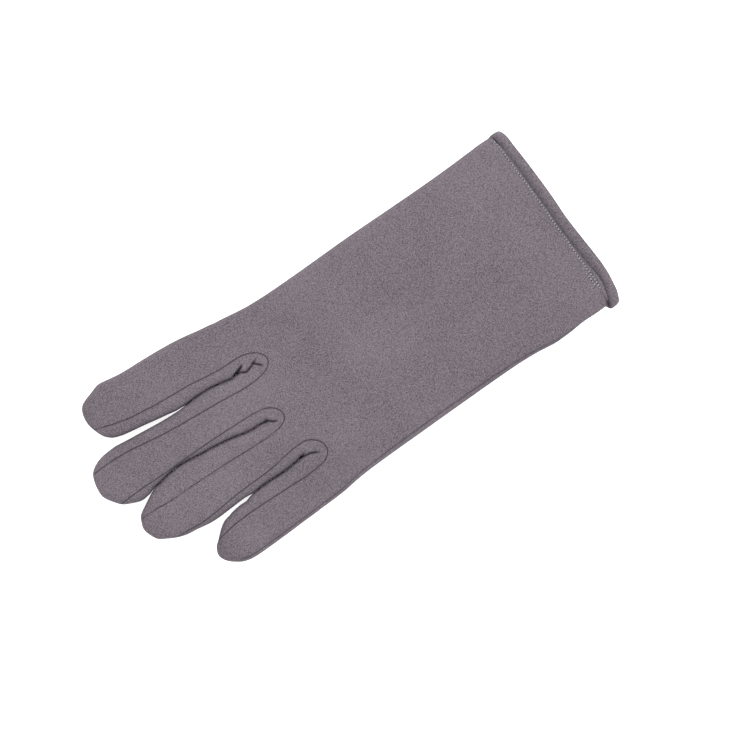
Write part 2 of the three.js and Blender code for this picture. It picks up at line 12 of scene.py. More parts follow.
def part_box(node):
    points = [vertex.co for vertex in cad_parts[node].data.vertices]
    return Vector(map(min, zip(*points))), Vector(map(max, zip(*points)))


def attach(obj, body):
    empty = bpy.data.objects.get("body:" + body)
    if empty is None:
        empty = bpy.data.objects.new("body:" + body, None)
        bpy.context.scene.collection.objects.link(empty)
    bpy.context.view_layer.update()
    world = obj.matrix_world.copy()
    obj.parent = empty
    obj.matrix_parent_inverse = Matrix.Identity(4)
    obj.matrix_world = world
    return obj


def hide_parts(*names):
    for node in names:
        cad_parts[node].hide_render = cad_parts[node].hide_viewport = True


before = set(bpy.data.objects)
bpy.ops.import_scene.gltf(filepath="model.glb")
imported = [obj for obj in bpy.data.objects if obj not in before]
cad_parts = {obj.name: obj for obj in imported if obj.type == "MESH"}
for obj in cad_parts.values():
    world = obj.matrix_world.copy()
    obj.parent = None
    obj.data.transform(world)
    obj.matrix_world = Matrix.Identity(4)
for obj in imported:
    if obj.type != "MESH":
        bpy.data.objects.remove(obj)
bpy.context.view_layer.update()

# Cloth
cloth_wall = 0.95
seam_gap = 0.03
fold_height = 4.9  # of the side folds above the table
lay_gap = 0.3  # between two layers that lie on each other

# Hand, lying flat, with its two sides at heights above the cuff edge
palm_length = 156.0
back_rise = 5.5
side_roll = 9.0
roll_blend = 45.0  # below the fingers the roll narrows over this length
back_roll_power = 3.0
palm_roll_power = 4.0
hand_sides = {
    "y": [0, 12, 20, 28, 36, 44, 54, 66, 84, 108, 126, 138, 144, 150, 156],
    "little": [
        *(-45.3, -45.6, -45.4, -45.9, -45.9, -44.8, -44.1, -43.9, -43.9),
        *(-44.0, -44.1, -44.4, -44.9, -45.6, -45.9),
    ],
    "index": [45.6, 46.1, 45.9, 45.7, 45.6, 45.6, 45.7, 45.9, 46.2, 46.1, 46.2, 46.8, 47.6, 48.6, 49.4],
}

# Fingers. Between two of them, "little" and "index" are the edges of the finger on that side.
finger_rise = 5.1
finger_roll = 4.2
outer_edges = {
    "y": [156, 162, 168, 174, 180, 186, 192, 198, 204, 208, 230],
    "little": [-45.9, -46.0, -46.2, -46.3, -46.5, -46.6, -46.7, -46.7, -46.7, -46.7, -46.7],
    "index": [49.4, 50.4, 51.6, 52.6, 53.3, 53.8, 54.2, 54.5, 55.1, 55.8, 56.2],
}
gap_names = ["ring_little", "middle_ring", "index_middle"]
gap_edges = [
    {
        "y": [157.5, 160, 164, 168, 172, 176, 180, 184, 186.5, 188.5, 192, 196, 200, 204, 208, 214],
        "little": [
            *(-22.06, -22.46, -22.86, -22.96, -22.76, -22.61, -22.71, -22.96),
            *(-23.35, -23.95, -23.9, -24.3, -25.1, -25.1, -25.1, -25.1),
        ],
        "index": [
            *(-22.04, -22.44, -22.84, -22.94, -22.74, -22.59, -22.69, -22.94),
            *(-22.7, -22.5, -22.6, -22.75, -22.9, -23.0, -22.7, -21.65),
        ],
    },
    {
        "y": [161, 164, 168, 172, 176, 180, 184, 188, 192, 196, 200, 203, 206, 210, 214, 218.6, 222],
        "little": [
            *(-0.11, 0.29, 0.44, 1.09, 2.19, 2.99, 3.69, 4.24, 4.64),
            *(5.14, 5.74, 6.09, 6.04, 5.69, 4.99, 4.34, 3.18),
        ],
        "index": [
            *(-0.09, 0.31, 0.46, 1.11, 2.21, 3.01, 3.71, 4.26, 4.66),
            *(5.16, 5.76, 6.11, 6.06, 5.71, 5.01, 4.36, 3.22),
        ],
    },
    {
        "y": [159.5, 162, 164, 166, 170, 174, 178, 182, 186, 189, 191, 195, 200, 205, 210, 215, 222],
        "little": [
            *(24.59, 24.19, 24.49, 24.99, 25.84, 26.39, 26.59, 26.59, 26.49),
            *(26.3, 26.3, 26.5, 26.9, 27.45, 28.05, 28.6, 29.6),
        ],
        "index": [
            *(24.61, 24.21, 24.51, 25.01, 25.86, 26.41, 26.61, 26.61, 26.51),
            *(26.65, 26.8, 27.6, 28.5, 29.5, 30.5, 31.5, 33.0),
        ],
    },
]

# Fingertips: the rounding begins at "from" and ends at "top", and "left" and "right" are its edges at the
# heights that a quarter circle gives at tip_degrees
tip_degrees = [0, 15, 30, 45, 60, 75, 84, 90]
tips = [
    {
        "from": 198.0,
        "top": 212.75,
        "left": [-46.7, -46.3, -45.2, -43.2, -41.1, -38.75, -37.6, -37.0],
        "right": [-24.85, -25.65, -27.9, -30.6, -32.5, -34.8, -36.1, -37.0],
    },
    {
        "from": 214.0,
        "top": 233.25,
        "left": [-21.65, -20.95, -19.3, -17.1, -15.0, -11.2, -9.5, -8.2],
        "right": [4.99, 4.2, 1.95, -0.15, -2.1, -5.5, -7.0, -8.2],
    },
    {
        "from": 222.0,
        "top": 240.0,
        "left": [3.25, 3.0, 4.6, 6.65, 10.2, 13.2, 14.6, 15.4],
        "right": [29.6, 29.5, 28.95, 27.5, 25.1, 20.7, 17.5, 15.4],
    },
    {
        "from": 208.0,
        "top": 226.6,
        "left": [30.05, 30.9, 31.85, 33.4, 36.4, 41.2, 43.4, 45.2],
        "right": [55.9, 56.5, 55.3, 54.15, 52.6, 49.4, 46.9, 45.2],
    },
]

# Seams of the strips between the fingers, on the back: their two sides, and the round end below
seam_lines = [
    {
        "y": [150, 154, 161, 169, 177, 185, 193, 201, 209, 217, 225],
        "little": [-29.9, -30.0, -30.3, -29.9, -29.6, -29.3, -29.2, -29.8, -31.0, -32.2, -33.4],
        "index": [-16.7, -16.9, -17.3, -18.5, -18.9, -19.0, -19.4, -20.1, -20.5, -19.8, -19.2],
        "round_from": 153.8,
        "lowest": 145.4,
        "lean": 1.0,
    },
    {
        "y": [159, 163, 167, 175, 183, 191, 199, 207, 215, 223, 231, 237],
        "little": [-6.0, -6.3, -6.3, -5.95, -5.4, -5.05, -4.85, -4.6, -4.6, -3.8, -3.8, -4.2],
        "index": [5.0, 5.7, 6.1, 6.45, 6.8, 6.9, 6.9, 6.85, 7.0, 7.3, 7.1, 7.0],
        "round_from": 161.5,
        "lowest": 152.4,
        "lean": 1.2,
    },
    {
        "y": [155, 163, 171, 179, 187, 195, 203, 211, 219, 223, 227, 235, 240],
        "little": [17.2, 17.6, 18.6, 19.35, 20.05, 20.8, 21.75, 23.1, 24.35, 24.7, 25.0, 24.9, 24.8],
        "index": [30.3, 30.4, 31.3, 32.6, 33.3, 33.95, 35.0, 36.3, 38.6, 39.9, 41.4, 44.6, 46.6],
        "round_from": 156.4,
        "lowest": 144.1,
        "lean": 1.2,
    },
]

# Folds where the cloth between two fingers bunches, and how deep each one is
crease_lines = [
    [
        (0.7, [(-22.1, 157.6), (-21.9, 156.3), (-21.1, 154.9)]),
        (
            1.0,
            [(-22.1, 157.6), (-22.7, 155.1), (-22.9, 153.4), (-23.8, 151.4), (-24.7, 149.8), (-25.7, 149.4)],
        ),
    ],
    [
        (0.9, [(-0.1, 161.2), (-0.2, 160.2), (-1.5, 159.0), (-2.3, 157.8), (-2.9, 156.2)]),
    ],
    [
        (1.5, [(24.6, 160.4), (25.2, 157.9), (26.2, 155.8), (26.6, 154.8)]),
        (1.2, [(24.8, 160.8), (25.5, 158.2), (26.3, 156.3)]),
        (
            1.1,
            [
                *((24.6, 159.6), (24.1, 157.7), (22.8, 155.5), (23.6, 152.3)),
                *((24.4, 150.6), (25.2, 148.6), (25.4, 147.6)),
            ],
        ),
        (0.9, [(24.2, 150.9), (22.2, 148.8), (20.8, 147.8)]),
    ],
]
crease_width = 0.42
crease_puff = 0.22
# The darkness of a closed gap is painted shade along it
closed_gaps = [(186, 1.0), (218, 0.8), (187, 0.7)]  # how far up each gap is closed, and how dark it is
closed_gap_width = 0.38

# Seam down the little side of the back, this far in from the fold
side_seam = {
    "y": [26, 44, 62, 90, 118, 140, 160, 185, 205],
    "inset": [0.7, 1.3, 1.8, 2.2, 2.1, 1.7, 1.5, 1.5, 1.6],
}
side_seam_depth = 0.45

# Hem
hem_depth = 6.2
hem_swell = 0.85
hem_rows = {
    "in": [0, 0.1, 0.25, 0.4, 0.55, 0.7, 0.8, 0.9, 1.0, 1.15, 1.3],
    "swell": [0.1, 0.6, 0.95, 0.9, 0.7, 0.4, 0.1, -0.3, -0.1, 0.1, 0],
}
hem_corners = {
    "in": [0, 0.12, 0.3, 0.6, 0.9, 1.05, 1.13, 1.2],
    "little": [0.9, 2.0, 2.4, 2.5, 2.4, 1.8, 0.9, 0],
    "index": [0.1, 0.3, 0.45, 0.45, 0.3, 0.05, -0.2, -0.2],
}
cuff_edge = {
    "x": [-47, -43, -39, -35, -29, -23, -15, -7, -2, 5, 11, 21, 29, 37, 41, 45, 47],
    "y": [1.5, 0.1, -0.6, -1.2, -1.5, -1.3, -0.85, -0.4, -0.25, -0.45, -0.5, -0.3, -0.05, 0.4, 0.5, 1.2, 2.0],
}
hem_groove = {
    "x": [-47, -44.8, -39.1, -33.6, -28.7, -22, 46],
    "y": [6.6, 6.2, 5.1, 4.5, 4.7, 5.35, 5.3],
}
hem_groove_ends = (-45.6, 44.6)
hem_groove_deepens = (26, 37)  # between these distances from the middle towards the little side
rim_radius = 0.95  # of the cuff edge's roll
hem_layer = 11.5  # the inner layer runs this far back
hem_draws_in = 0.07  # and narrows by this share
rim_shades = [0.3, 1, 1, 0.3]  # how much painted shade darkens the roll, from its outside to its inside

# Thumb, folded under the palm
thumb_root = np.array([23.8, 72.2])
thumb_angle = math.radians(31.3)
thumb_reach = 99.0
thumb_hole_radius = 14.28
thumb_base_radius = 14.2
thumb_hole_run = 15.0
thumb_tip_radius = 11.5
thumb_height = 3.0
thumb_rise = 12.0
lift_shelf = 3.5
thumb_slope = 9.0
button_slope = 6.0
thumb_pleat = [(22.6, 60.6), (21.0, 63.5), (19.3, 66.2), (17.8, 68.6), (15.6, 72.4)]

# Wrist vent
vent_length = 46.7
vent_width = 10.2
vent_mouth_depth = 12.0
button_flap_curve = 20.0
hole_flap_curve = 9.0
flap_pull = 0.6  # how far each flap's curve keeps to the cuff's edge, as a share of its width
facing_width = 6.5
facing_wall = 0.9
facing_setback = 1.2

# Button and buttonhole
button_diameter = 12.4
button_thickness = 2.2
button_rim = 1.1
button_dish = 0.4
button_slope_width = 0.35
button_rounding = 0.45
button_place = np.array([13.1, 22.2])
eye_length = 6.4
eye_width = 2.8
eye_depth = 0.7
thread_hole_radius = 0.8
thread_hole_spacing = 3.2
shank_length = 0.7
buttonhole_length = 14.0
buttonhole_width = 1.0
buttonhole_place = np.array([-16.6, 19.8])

# Seams
seam_depth = 0.7  # the cloth's edge turns down this far into the seam
seam_turn = 0.5  # over this width
seam_easing = 1.6
seam_puff = 0.1
pucker_depth = 0.07
pucker_pitch = 3.4
pucker_reach = 3.0
# Painted shade: its width beside the seams, and along the folded edges
seam_shade_width = 0.35
fold_shade_width = 0.28

# How the cloth is cut into triangles: rows of points this far in from an edge, and beside a crease
hand_rings = [0.12, 0.35, 0.65, 1.0, 1.5, 2.2, 3.1]
strip_rings = [0.1, 0.28, 0.5, 0.8, 1.2, 1.8]
thumb_rings = [0.2, 0.5, 0.9, 1.4, 1.7, 2.0, 2.6]
facing_rings = [0.3, 0.8]
widest_close_ring = 1.2  # rows further in than this have half as many points
crease_rows = (-0.6, -0.35, -0.17, 0.17, 0.35, 0.6)
spacings = {
    **{"back": 1.7, "palm": 2.0, "strip_back": 1.1, "strip_palm": 1.4},
    **{"thumb_over": 2.0, "thumb_under": 1.4, "facing": 1.6},
}
edge_spacing = 1.1  # of the points along the cuff

# Topstitching: dashes of thread with a dark dot of painted shade between two of them
stitch_pitch = 1.45
stitch_size = (1.05, 0.5, 0.3)  # length, width and height
stitch_shade_size = (0.5, 0.6, 0.16)
buttonhole_thread = (0.4, 0.34)  # width and height
button_strand = (0.42, 0.36)
crossed_stitch_height = 7.6  # above the cuff's edge
back_hem_stitches = [
    [
        *((43.3, 6.2), (38, 5.8), (30.5, 6.1), (20, 5.9), (11, 6.0)),
        *((0, 5.8), (-12, 5.9), (-23, 6.2), (-32, 6.1), (-40, 6.0)),
    ],
    [(-28, 7.4), (-32.5, 7.2), (-37, 7.1)],
]
palm_hem_height = 6.6
vent_stitch_inset = 2.2
thumb_stitch_inset = 3.8

# Looks
jersey_knit = {"Speckle": 2.3, "Ribs": 0.15, "Tone": 0.45}
# Near black, for the painted shade in seams, creases, grooves and along folded edges
jersey_shade_colour = (0.022, 0.022, 0.028)
lamp_width = 0.9
lamp_power = 12
lamp_place = (0.35, -0.9, 1.1)

# The photograph's frame, with the camera straight above
photo_side = 729
photo_scale = 0.4444  # millimetres a pixel
photo_right = (-0.577, -0.817)
photo_up = (0.817, -0.577)
photo_mark = (558.85, 218.6)  # this pixel is at the place below
photo_mark_place = (-1.56, 2.67)
camera_height = 1.6  # metres above the glove's back
glove_top = 0.008

# Where the glove's own frame sits in the model's: the button gives both ways, the floor is the same
button_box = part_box("button")
shift = np.array([(button_box[0][i] + button_box[1][i]) / 2 - button_place[i] / 1000 for i in range(2)])


def smooth(at, low, high):
    """0 below low, 1 above high, and eased between them."""
    share = np.clip((np.asarray(at, float) - low) / (high - low), 0, 1)
    return share * share * (3 - 2 * share)


def rounded(at, power):
    """Height share of a rounded profile, 1 in the middle and 0 at the edge."""
    return (1 - np.clip(np.abs(at), 0, 1) ** power) ** (1 / power)


def filled(away, reach, power):
    """0 at an edge, rising roundly to 1 at reach."""
    return rounded(1 - np.clip(away / reach, 0, 1), power)


def bell(at, width):
    """1 at 0, and nearly nothing at twice the width."""
    return np.exp(-((at / width) ** 2))


def pairs(x, y):
    """Points from their x and their y, either of which may be one value for all."""
    return np.stack(np.broadcast_arrays(x, y), axis=1)


def arc(centre, radius, first, last, count):
    turn = np.linspace(first, last, count)
    return pairs(centre[0] + radius * np.cos(turn), centre[1] + radius * np.sin(turn))


def follow(ups, values, at):
    """A smooth curve through values at their heights."""
    ups = np.asarray(ups, float)
    values = np.asarray(values, float)
    at = np.clip(np.asarray(at, float), ups[0], ups[-1])
    slopes = np.empty_like(values)
    slopes[1:-1] = (values[2:] - values[:-2]) / (ups[2:] - ups[:-2])
    slopes[0] = (values[1] - values[0]) / (ups[1] - ups[0])
    slopes[-1] = (values[-1] - values[-2]) / (ups[-1] - ups[-2])
    i = np.clip(np.searchsorted(ups, at, side="right") - 1, 0, len(ups) - 2)
    run = ups[i + 1] - ups[i]
    s = (at - ups[i]) / run
    start = (2 * s**3 - 3 * s**2 + 1) * values[i] + (s**3 - 2 * s**2 + s) * run * slopes[i]
    end = (3 * s**2 - 2 * s**3) * values[i + 1] + (s**3 - s**2) * run * slopes[i + 1]
    return start + end


def column(table, name, at):
    """A smooth curve through one column of a table, whose first column says where each value is."""
    return follow(next(iter(table.values())), table[name], at)


def hem_swelling(y):
    """How far the hem stands out at height y, as a share of its swell."""
    at = np.asarray(y, float) / hem_depth
    return np.where(at < hem_rows["in"][-1], column(hem_rows, "swell", at), 0)


def hand_edges(y):
    """The hand's two sides at height y, with the hem standing out from them."""
    at = np.asarray(y, float) / hem_depth
    left = column(hand_sides, "little", y) - column(hem_corners, "little", at)
    right = column(hand_sides, "index", y) + column(hem_corners, "index", at)
    return left, right


def gap_at(line, y):
    """The two edges of the gap between two fingers at height y."""
    return column(gap_edges[line], "little", y), column(gap_edges[line], "index", y)


def gap_end(line):
    rows = gap_edges[line]
    return np.array([(rows["little"][0] + rows["index"][0]) / 2, rows["y"][0]])


gap_ends = [gap_end(line) for line in range(3)]
hand_tops = [(hand_sides[side][-1], palm_length) for side in ("little", "index")]
finger_starts = [hand_tops[0], *(tuple(end) for end in gap_ends), hand_tops[1]]


def crotch_line(x):
    """Height of the line through the ends of the gaps."""
    return np.interp(x, *zip(*finger_starts))


def finger_edges(f, y):
    """A finger's two edges at height y, drawn in round its tip, and how far up its tip that is."""
    y = np.asarray(y, float)
    left = gap_at(f - 1, y)[1] if f > 0 else column(outer_edges, "little", y)
    right = gap_at(f, y)[0] if f < 3 else column(outer_edges, "index", y)
    tip = tips[f]
    bend = np.clip((y - tip["from"]) / (tip["top"] - tip["from"]), 0, 1)
    turned = np.degrees(np.arcsin(bend))
    left = np.where(bend > 0, follow(tip_degrees, tip["left"], turned), left)
    right = np.where(bend > 0, follow(tip_degrees, tip["right"], turned), right)
    return left, right, bend


def on_thumb(x, y):
    """How far along the thumb a place lies from its root, and how far off its middle line."""
    from_root = (x - thumb_root[0], y - thumb_root[1])
    along = from_root[1] * math.cos(thumb_angle) - from_root[0] * math.sin(thumb_angle)
    off = from_root[0] * math.cos(thumb_angle) + from_root[1] * math.sin(thumb_angle)
    return along, off


def lift(x, y):
    """How far the thumb and the button lift the palm off the table."""
    along, off = on_thumb(x, y)
    beyond = along - np.clip(along, 0, thumb_reach - thumb_tip_radius)
    past = np.hypot(beyond, off) - thumb_base_radius
    over_thumb = 1 - smooth(past, lift_shelf, lift_shelf + thumb_slope)
    apart = np.hypot(x - button_place[0], y - button_place[1]) - button_diameter / 2
    over_button = 1 - smooth(apart, lift_shelf, lift_shelf + button_slope)
    grown = smooth(along, -thumb_hole_radius, thumb_rise)
    by_thumb = (thumb_height + lay_gap) * grown * over_thumb
    return np.maximum(by_thumb, (button_thickness + shank_length) * over_button)


def fullness(x, y, roll_power):
    """1 on the glove's flats, falling to 0 at its side folds and in the gaps between the fingers."""
    left, right = hand_edges(y)
    roll = side_roll + (finger_roll - side_roll) * smooth(y, palm_length - roll_blend, palm_length)
    share = filled(x - left, roll, roll_power) * filled(right - x, roll, roll_power)
    from_gap = [np.hypot(x - end[0], np.minimum(y - end[1], 0)) for end in gap_ends]
    for away in from_gap:
        share = share * filled(away, finger_roll, roll_power)
    above = y > crotch_line(x)
    for f in range(4):
        low, high, bend = finger_edges(f, y)
        first = sum(gap_at(f - 1, y)) / 2 if f > 0 else -1e3
        last = sum(gap_at(f, y)) / 2 if f < 3 else 1e3
        to_low, to_high = x - low, high - x
        if f > 0:
            to_low = np.where(y < gap_ends[f - 1][1], from_gap[f - 1], to_low)
        if f < 3:
            to_high = np.where(y < gap_ends[f][1], from_gap[f], to_high)
        one = filled(to_low, finger_roll, roll_power) * filled(to_high, finger_roll, roll_power)
        share = np.where(above & (x >= first) & (x <= last), one * rounded(bend, 3), share)
    return share


def back_height(x, y):
    """Height of the glove's back, before seams and folds."""
    rise = finger_rise + (back_rise - finger_rise) * smooth(crotch_line(x) - y, 0, 18)
    return fold_height + (rise + hem_swell * hem_swelling(y)) * fullness(x, y, back_roll_power)


def palm_height(x, y):
    return fold_height - (fold_height - lift(x, y)) * fullness(x, y, palm_roll_power)


def bowed(x, y):
    """The cuff's edge isn't quite straight. Its bends fade out over the hem's inner layer."""
    return y + column(cuff_edge, "y", x) * (1 - smooth(y, 0, hem_layer))


def hem_groove_at(x, y):
    """The groove beside the hem's stitches, deepest towards the little side: its depth and the painted shade in
    and below it.
    """
    near = smooth(-x, *hem_groove_deepens)
    up = y - column(hem_groove, "y", x)
    groove = bell(up, 0.5 + 0.25 * near)
    # A wider band of painted shade just below the groove
    below = 0.38 * bell(up + 0.9, 1.3)
    return groove * (0.6 + 0.4 * near), np.maximum(groove * (0.85 + 0.4 * near), below)


def hem_groove_line():
    x = np.linspace(*hem_groove_ends, 200)
    return resampled(pairs(x, column(hem_groove, "y", x)), 0.5)


def run_of(line):
    """How far along a line each of its points is."""
    return np.concatenate([[0], np.cumsum(np.hypot(*np.diff(line, axis=0).T))])


def resampled(points, step):
    """The same line with its points evenly spaced."""
    points = np.asarray(points, float)
    moved = np.hypot(*np.diff(points, axis=0).T) > 1e-9
    points = points[np.concatenate([[True], moved])]
    run = run_of(points)
    count = max(int(round(run[-1] / step)), 1)
    at = np.linspace(0, run[-1], count + 1)
    return pairs(np.interp(at, run, points[:, 0]), np.interp(at, run, points[:, 1]))


def eased(points, reach):
    """The same line with its bends eased over a length, and its ends kept."""
    step = 0.25
    line = resampled(points, step)
    steps = int(3 * reach / step)
    weights = np.exp(-0.5 * (np.arange(-steps, steps + 1) * step / reach) ** 2)
    weights /= weights.sum()
    before = 2 * line[0] - line[steps:0:-1]
    after = 2 * line[-1] - line[-2 : -steps - 2 : -1]
    longer = np.concatenate([before, line, after])
    return pairs(*(np.convolve(longer[:, axis], weights, "valid") for axis in (0, 1)))


def evenly_closed(loop, step):
    """A closed outline with its points evenly spaced, and its first point not repeated."""
    return resampled(np.concatenate([loop, loop[:1]]), step)[:-1]


def without_repeats(loop, least):
    """A closed outline without the points that lie on the one before."""
    return loop[np.hypot(*(loop - np.roll(loop, 1, axis=0)).T) > least]


def seam_x(line, side, y, grow):
    return column(seam_lines[line], "little" if side < 0 else "index", y) + side * grow


def seam_meets_tip(line, side, grow):
    """Height at which a seam runs out over its finger's tip."""
    f = line if side < 0 else line + 1
    low = tips[f]["from"]
    high = tips[f]["top"]
    for _ in range(50):
        mid = (low + high) / 2
        left, right, _bend = finger_edges(f, mid)
        edge = right if side < 0 else left
        low, high = (mid, high) if (edge - seam_x(line, side, mid, grow)) * side < 0 else (low, mid)
    return low


def seam_line(line, grow, step):
    """The seam of a strip, from the little finger's side of the gap round its end and up again."""
    rows = seam_lines[line]
    bend_top = rows["round_from"]
    first, last = (seam_x(line, side, bend_top, grow) for side in (-1, 1))
    reach = bend_top - rows["lowest"] + grow
    down = np.linspace(seam_meets_tip(line, -1, grow), bend_top, 120)
    up = np.linspace(bend_top, seam_meets_tip(line, 1, grow), 120)
    turn = np.linspace(math.pi, 2 * math.pi, 60)
    end_x = (first + last) / 2 + (last - first) / 2 * np.cos(turn) - rows["lean"] * np.sin(turn) ** 2
    round_end = pairs(end_x, bend_top + reach * np.sin(turn))
    sides = [pairs(seam_x(line, -1, down, grow), down), pairs(seam_x(line, 1, up, grow), up)]
    return resampled(eased(np.concatenate([sides[0], round_end, sides[1]]), seam_easing), step)


def tip_line(f, start, end, step):
    """Round a fingertip along its silhouette, from height start on the little side to height end."""
    tip = tips[f]
    tall = tip["top"] - tip["from"]

    def turned(y):
        return math.degrees(math.asin(min(max((y - tip["from"]) / tall, 0), 1)))

    def side(name, degrees):
        y = tip["from"] + tall * np.sin(np.radians(degrees))
        return pairs(follow(tip_degrees, tip[name], degrees), y)

    left = side("left", np.linspace(turned(start), 90, 60))
    right = side("right", np.linspace(90, turned(end), 60))
    return resampled(np.concatenate([left, right[1:]]), step)


def distance_to(points, line, closed=False):
    """Distance from each point to a line, and how far along the line the nearest place is."""
    points = np.asarray(points, float)
    line = np.asarray(line, float)
    if closed:
        line = np.concatenate([line, line[:1]])
    starts = line[:-1]
    ways = line[1:] - starts
    lengths = np.maximum(np.hypot(ways[:, 0], ways[:, 1]), 1e-9)
    run = np.concatenate([[0], np.cumsum(lengths)])
    best = np.full(len(points), 1e9)
    along = np.zeros(len(points))
    for first in range(0, len(points), 4000):
        some = points[first : first + 4000]
        rel_x = some[:, None, 0] - starts[None, :, 0]
        rel_y = some[:, None, 1] - starts[None, :, 1]
        share = np.clip((rel_x * ways[:, 0] + rel_y * ways[:, 1]) / lengths**2, 0, 1)
        gaps = np.hypot(rel_x - share * ways[:, 0], rel_y - share * ways[:, 1])
        nearest = gaps.argmin(axis=1)
        rows = np.arange(len(some))
        best[first : first + 4000] = gaps[rows, nearest]
        along[first : first + 4000] = run[nearest] + share[rows, nearest] * lengths[nearest]
    return best, along


def inside(points, loop):
    """Which points lie inside a closed outline."""
    points = np.asarray(points, float)
    loop = np.asarray(loop, float)
    following = np.roll(loop, -1, axis=0)
    result = np.zeros(len(points), bool)
    for first in range(0, len(points), 4000):
        x = points[first : first + 4000, 0][:, None]
        y = points[first : first + 4000, 1][:, None]
        crosses = (loop[:, 1] > y) != (following[:, 1] > y)
        rise = np.where(np.abs(following[:, 1] - loop[:, 1]) < 1e-12, 1e-12, following[:, 1] - loop[:, 1])
        at = loop[:, 0] + (y - loop[:, 1]) / rise * (following[:, 0] - loop[:, 0])
        result[first : first + 4000] = (crosses & (x < at)).sum(axis=1) % 2 == 1
    return result


def signed_area(loop):
    following = np.roll(loop, -1, axis=0)
    return ((loop[:, 0] * following[:, 1] - following[:, 0] * loop[:, 1]).sum()) / 2


def honeycomb(low, high, spacing):
    """Places in rows that make even triangles."""
    rows = np.arange(low[1], high[1], spacing * math.sqrt(3) / 2)
    across = np.arange(low[0], high[0], spacing)
    return np.concatenate([pairs(across + (i % 2) * spacing / 2, y) for i, y in enumerate(rows)])


def left_of(way):
    """One millimetre to the left of each way along a line."""
    return pairs(-way[:, 1], way[:, 0]) / np.maximum(np.hypot(*way.T), 1e-9)[:, None]


def places_for_cloth(loops, spacing, rings, zones):
    """Rings of places along each outline and a honeycomb between them, each with the room that it needs."""
    outline = loops[0]
    sets = []
    for number, loop in enumerate(loops):
        way = np.roll(loop, -1, axis=0) - np.roll(loop, 1, axis=0)
        inward = left_of(way) * np.sign(signed_area(loop))
        if number > 0:
            inward = -inward
        for i, ring in enumerate(rings):
            every = 1 if ring < widest_close_ring else 2
            sets.append(((loop + ring * inward)[i % every :: every], ring))
    field = honeycomb(outline.min(axis=0), outline.max(axis=0), spacing)
    for x, y, radius, _fine in zones:
        field = field[np.hypot(field[:, 0] - x, field[:, 1] - y) > radius]
    sets.append((field, rings[-1] + spacing * 0.5))
    for x, y, radius, fine in zones:
        patch = honeycomb((x - radius, y - radius), (x + radius, y + radius), fine)
        patch = patch[np.hypot(patch[:, 0] - x, patch[:, 1] - y) < radius]
        sets.append((patch, rings[-1] + fine * 0.5))
    return np.concatenate([np.column_stack([points, np.full(len(points), room)]) for points, room in sets])


def in_cloth(points, outline, holes):
    """Which points lie inside an outline and outside its holes."""
    good = inside(points, outline)
    for hole in holes:
        good &= ~inside(points, hole)
    return good


def cut_cloth(outline, holes, spacing, rings, zones=(), creases=()):
    """Flat triangles inside an outline and outside its holes, close together along every edge.

    A zone (x, y, radius, spacing) has triangles of its own size, and a crease has an edge along it.
    """
    loops = [outline, *holes]
    free = places_for_cloth(loops, spacing, rings, zones)
    clear = np.min([distance_to(free, loop, closed=True)[0] for loop in loops], axis=0)
    good = in_cloth(free, outline, holes)
    free = free[good & (clear > 0.88 * free[:, 2]), :2]
    for crease in creases:
        aside = left_of(np.gradient(crease, axis=0))
        beside = np.concatenate([crease + away * aside for away in crease_rows])
        beside = beside[inside(beside, outline) & (distance_to(beside, outline, closed=True)[0] > 0.1)]
        beside = beside[distance_to(beside, crease)[0] > 0.15]
        free = free[distance_to(free, crease)[0] > 0.8]
        free = np.concatenate([free, beside])
    points = np.concatenate([*loops, free, *creases])
    edges = []
    first = len(points) - sum(len(crease) for crease in creases)
    for crease in creases:
        edges += [(first + i, first + i + 1) for i in range(len(crease) - 1)]
        first += len(crease)
    first = 0
    for loop in loops:
        edges += [(first + i, first + (i + 1) % len(loop)) for i in range(len(loop))]
        first += len(loop)
    made = geometry.delaunay_2d_cdt([Vector(p) for p in points.tolist()], edges, [], 0, 1e-6, False)
    flat = np.array([tuple(p) for p in made[0]])
    corners = np.array(made[2])
    return flat, corners[in_cloth(flat[corners].mean(axis=1), outline, holes)]


def placed(points):
    """Millimetres in the glove's own frame to metres in the model's."""
    points = np.asarray(points, float) / 1000
    points[:, 0] += shift[0]
    points[:, 1] += shift[1]
    return points


def new_object(name, points, faces):
    """A mesh object in the scene, from points in metres."""
    mesh = bpy.data.meshes.new(name)
    mesh.from_pydata(points, [], faces)
    piece = bpy.data.objects.new(name, mesh)
    bpy.context.scene.collection.objects.link(piece)
    return piece


def cloth_mesh(name, points, faces, shade_marks=None):
    """A mesh object from points in millimetres, with its painted shade kept as an attribute of each point."""
    piece = new_object(name, placed(points).tolist(), faces)
    for key, values in (shade_marks or {}).items():
        made = piece.data.attributes.new(key, "FLOAT", "POINT")
        made.data.foreach_set("value", np.asarray(values, np.float32))
    return piece


def only(piece):
    bpy.ops.object.select_all(action="DESELECT")
    piece.select_set(True)
    bpy.context.view_layer.objects.active = piece


def reshape(piece, kind, **settings):
    """Adds a modifier with its settings and applies it."""
    only(piece)
    added = piece.modifiers.new(kind, kind)
    for key, value in settings.items():
        setattr(added, key, value)
    bpy.ops.object.modifier_apply(modifier=added.name)


def give_wall(piece, wall):
    """Thickens a skin inwards and shades it smooth."""
    reshape(piece, "SOLIDIFY", thickness=wall / 1000, offset=-1)
    bpy.ops.object.shade_smooth_by_angle(angle=math.radians(55))


# The seams of the strips between the fingers, as the hand's cloth has them
seams = [seam_line(line, seam_gap / 2, 0.7) for line in range(3)]


def side_seam_line():
    """Where the seam on the little side runs."""
    y = np.linspace(side_seam["y"][0], side_seam["y"][-1], 200)
    edge = np.where(y < palm_length, hand_edges(y)[0], finger_edges(0, y)[0])
    return resampled(pairs(edge + column(side_seam, "inset", y), y), 1.0)


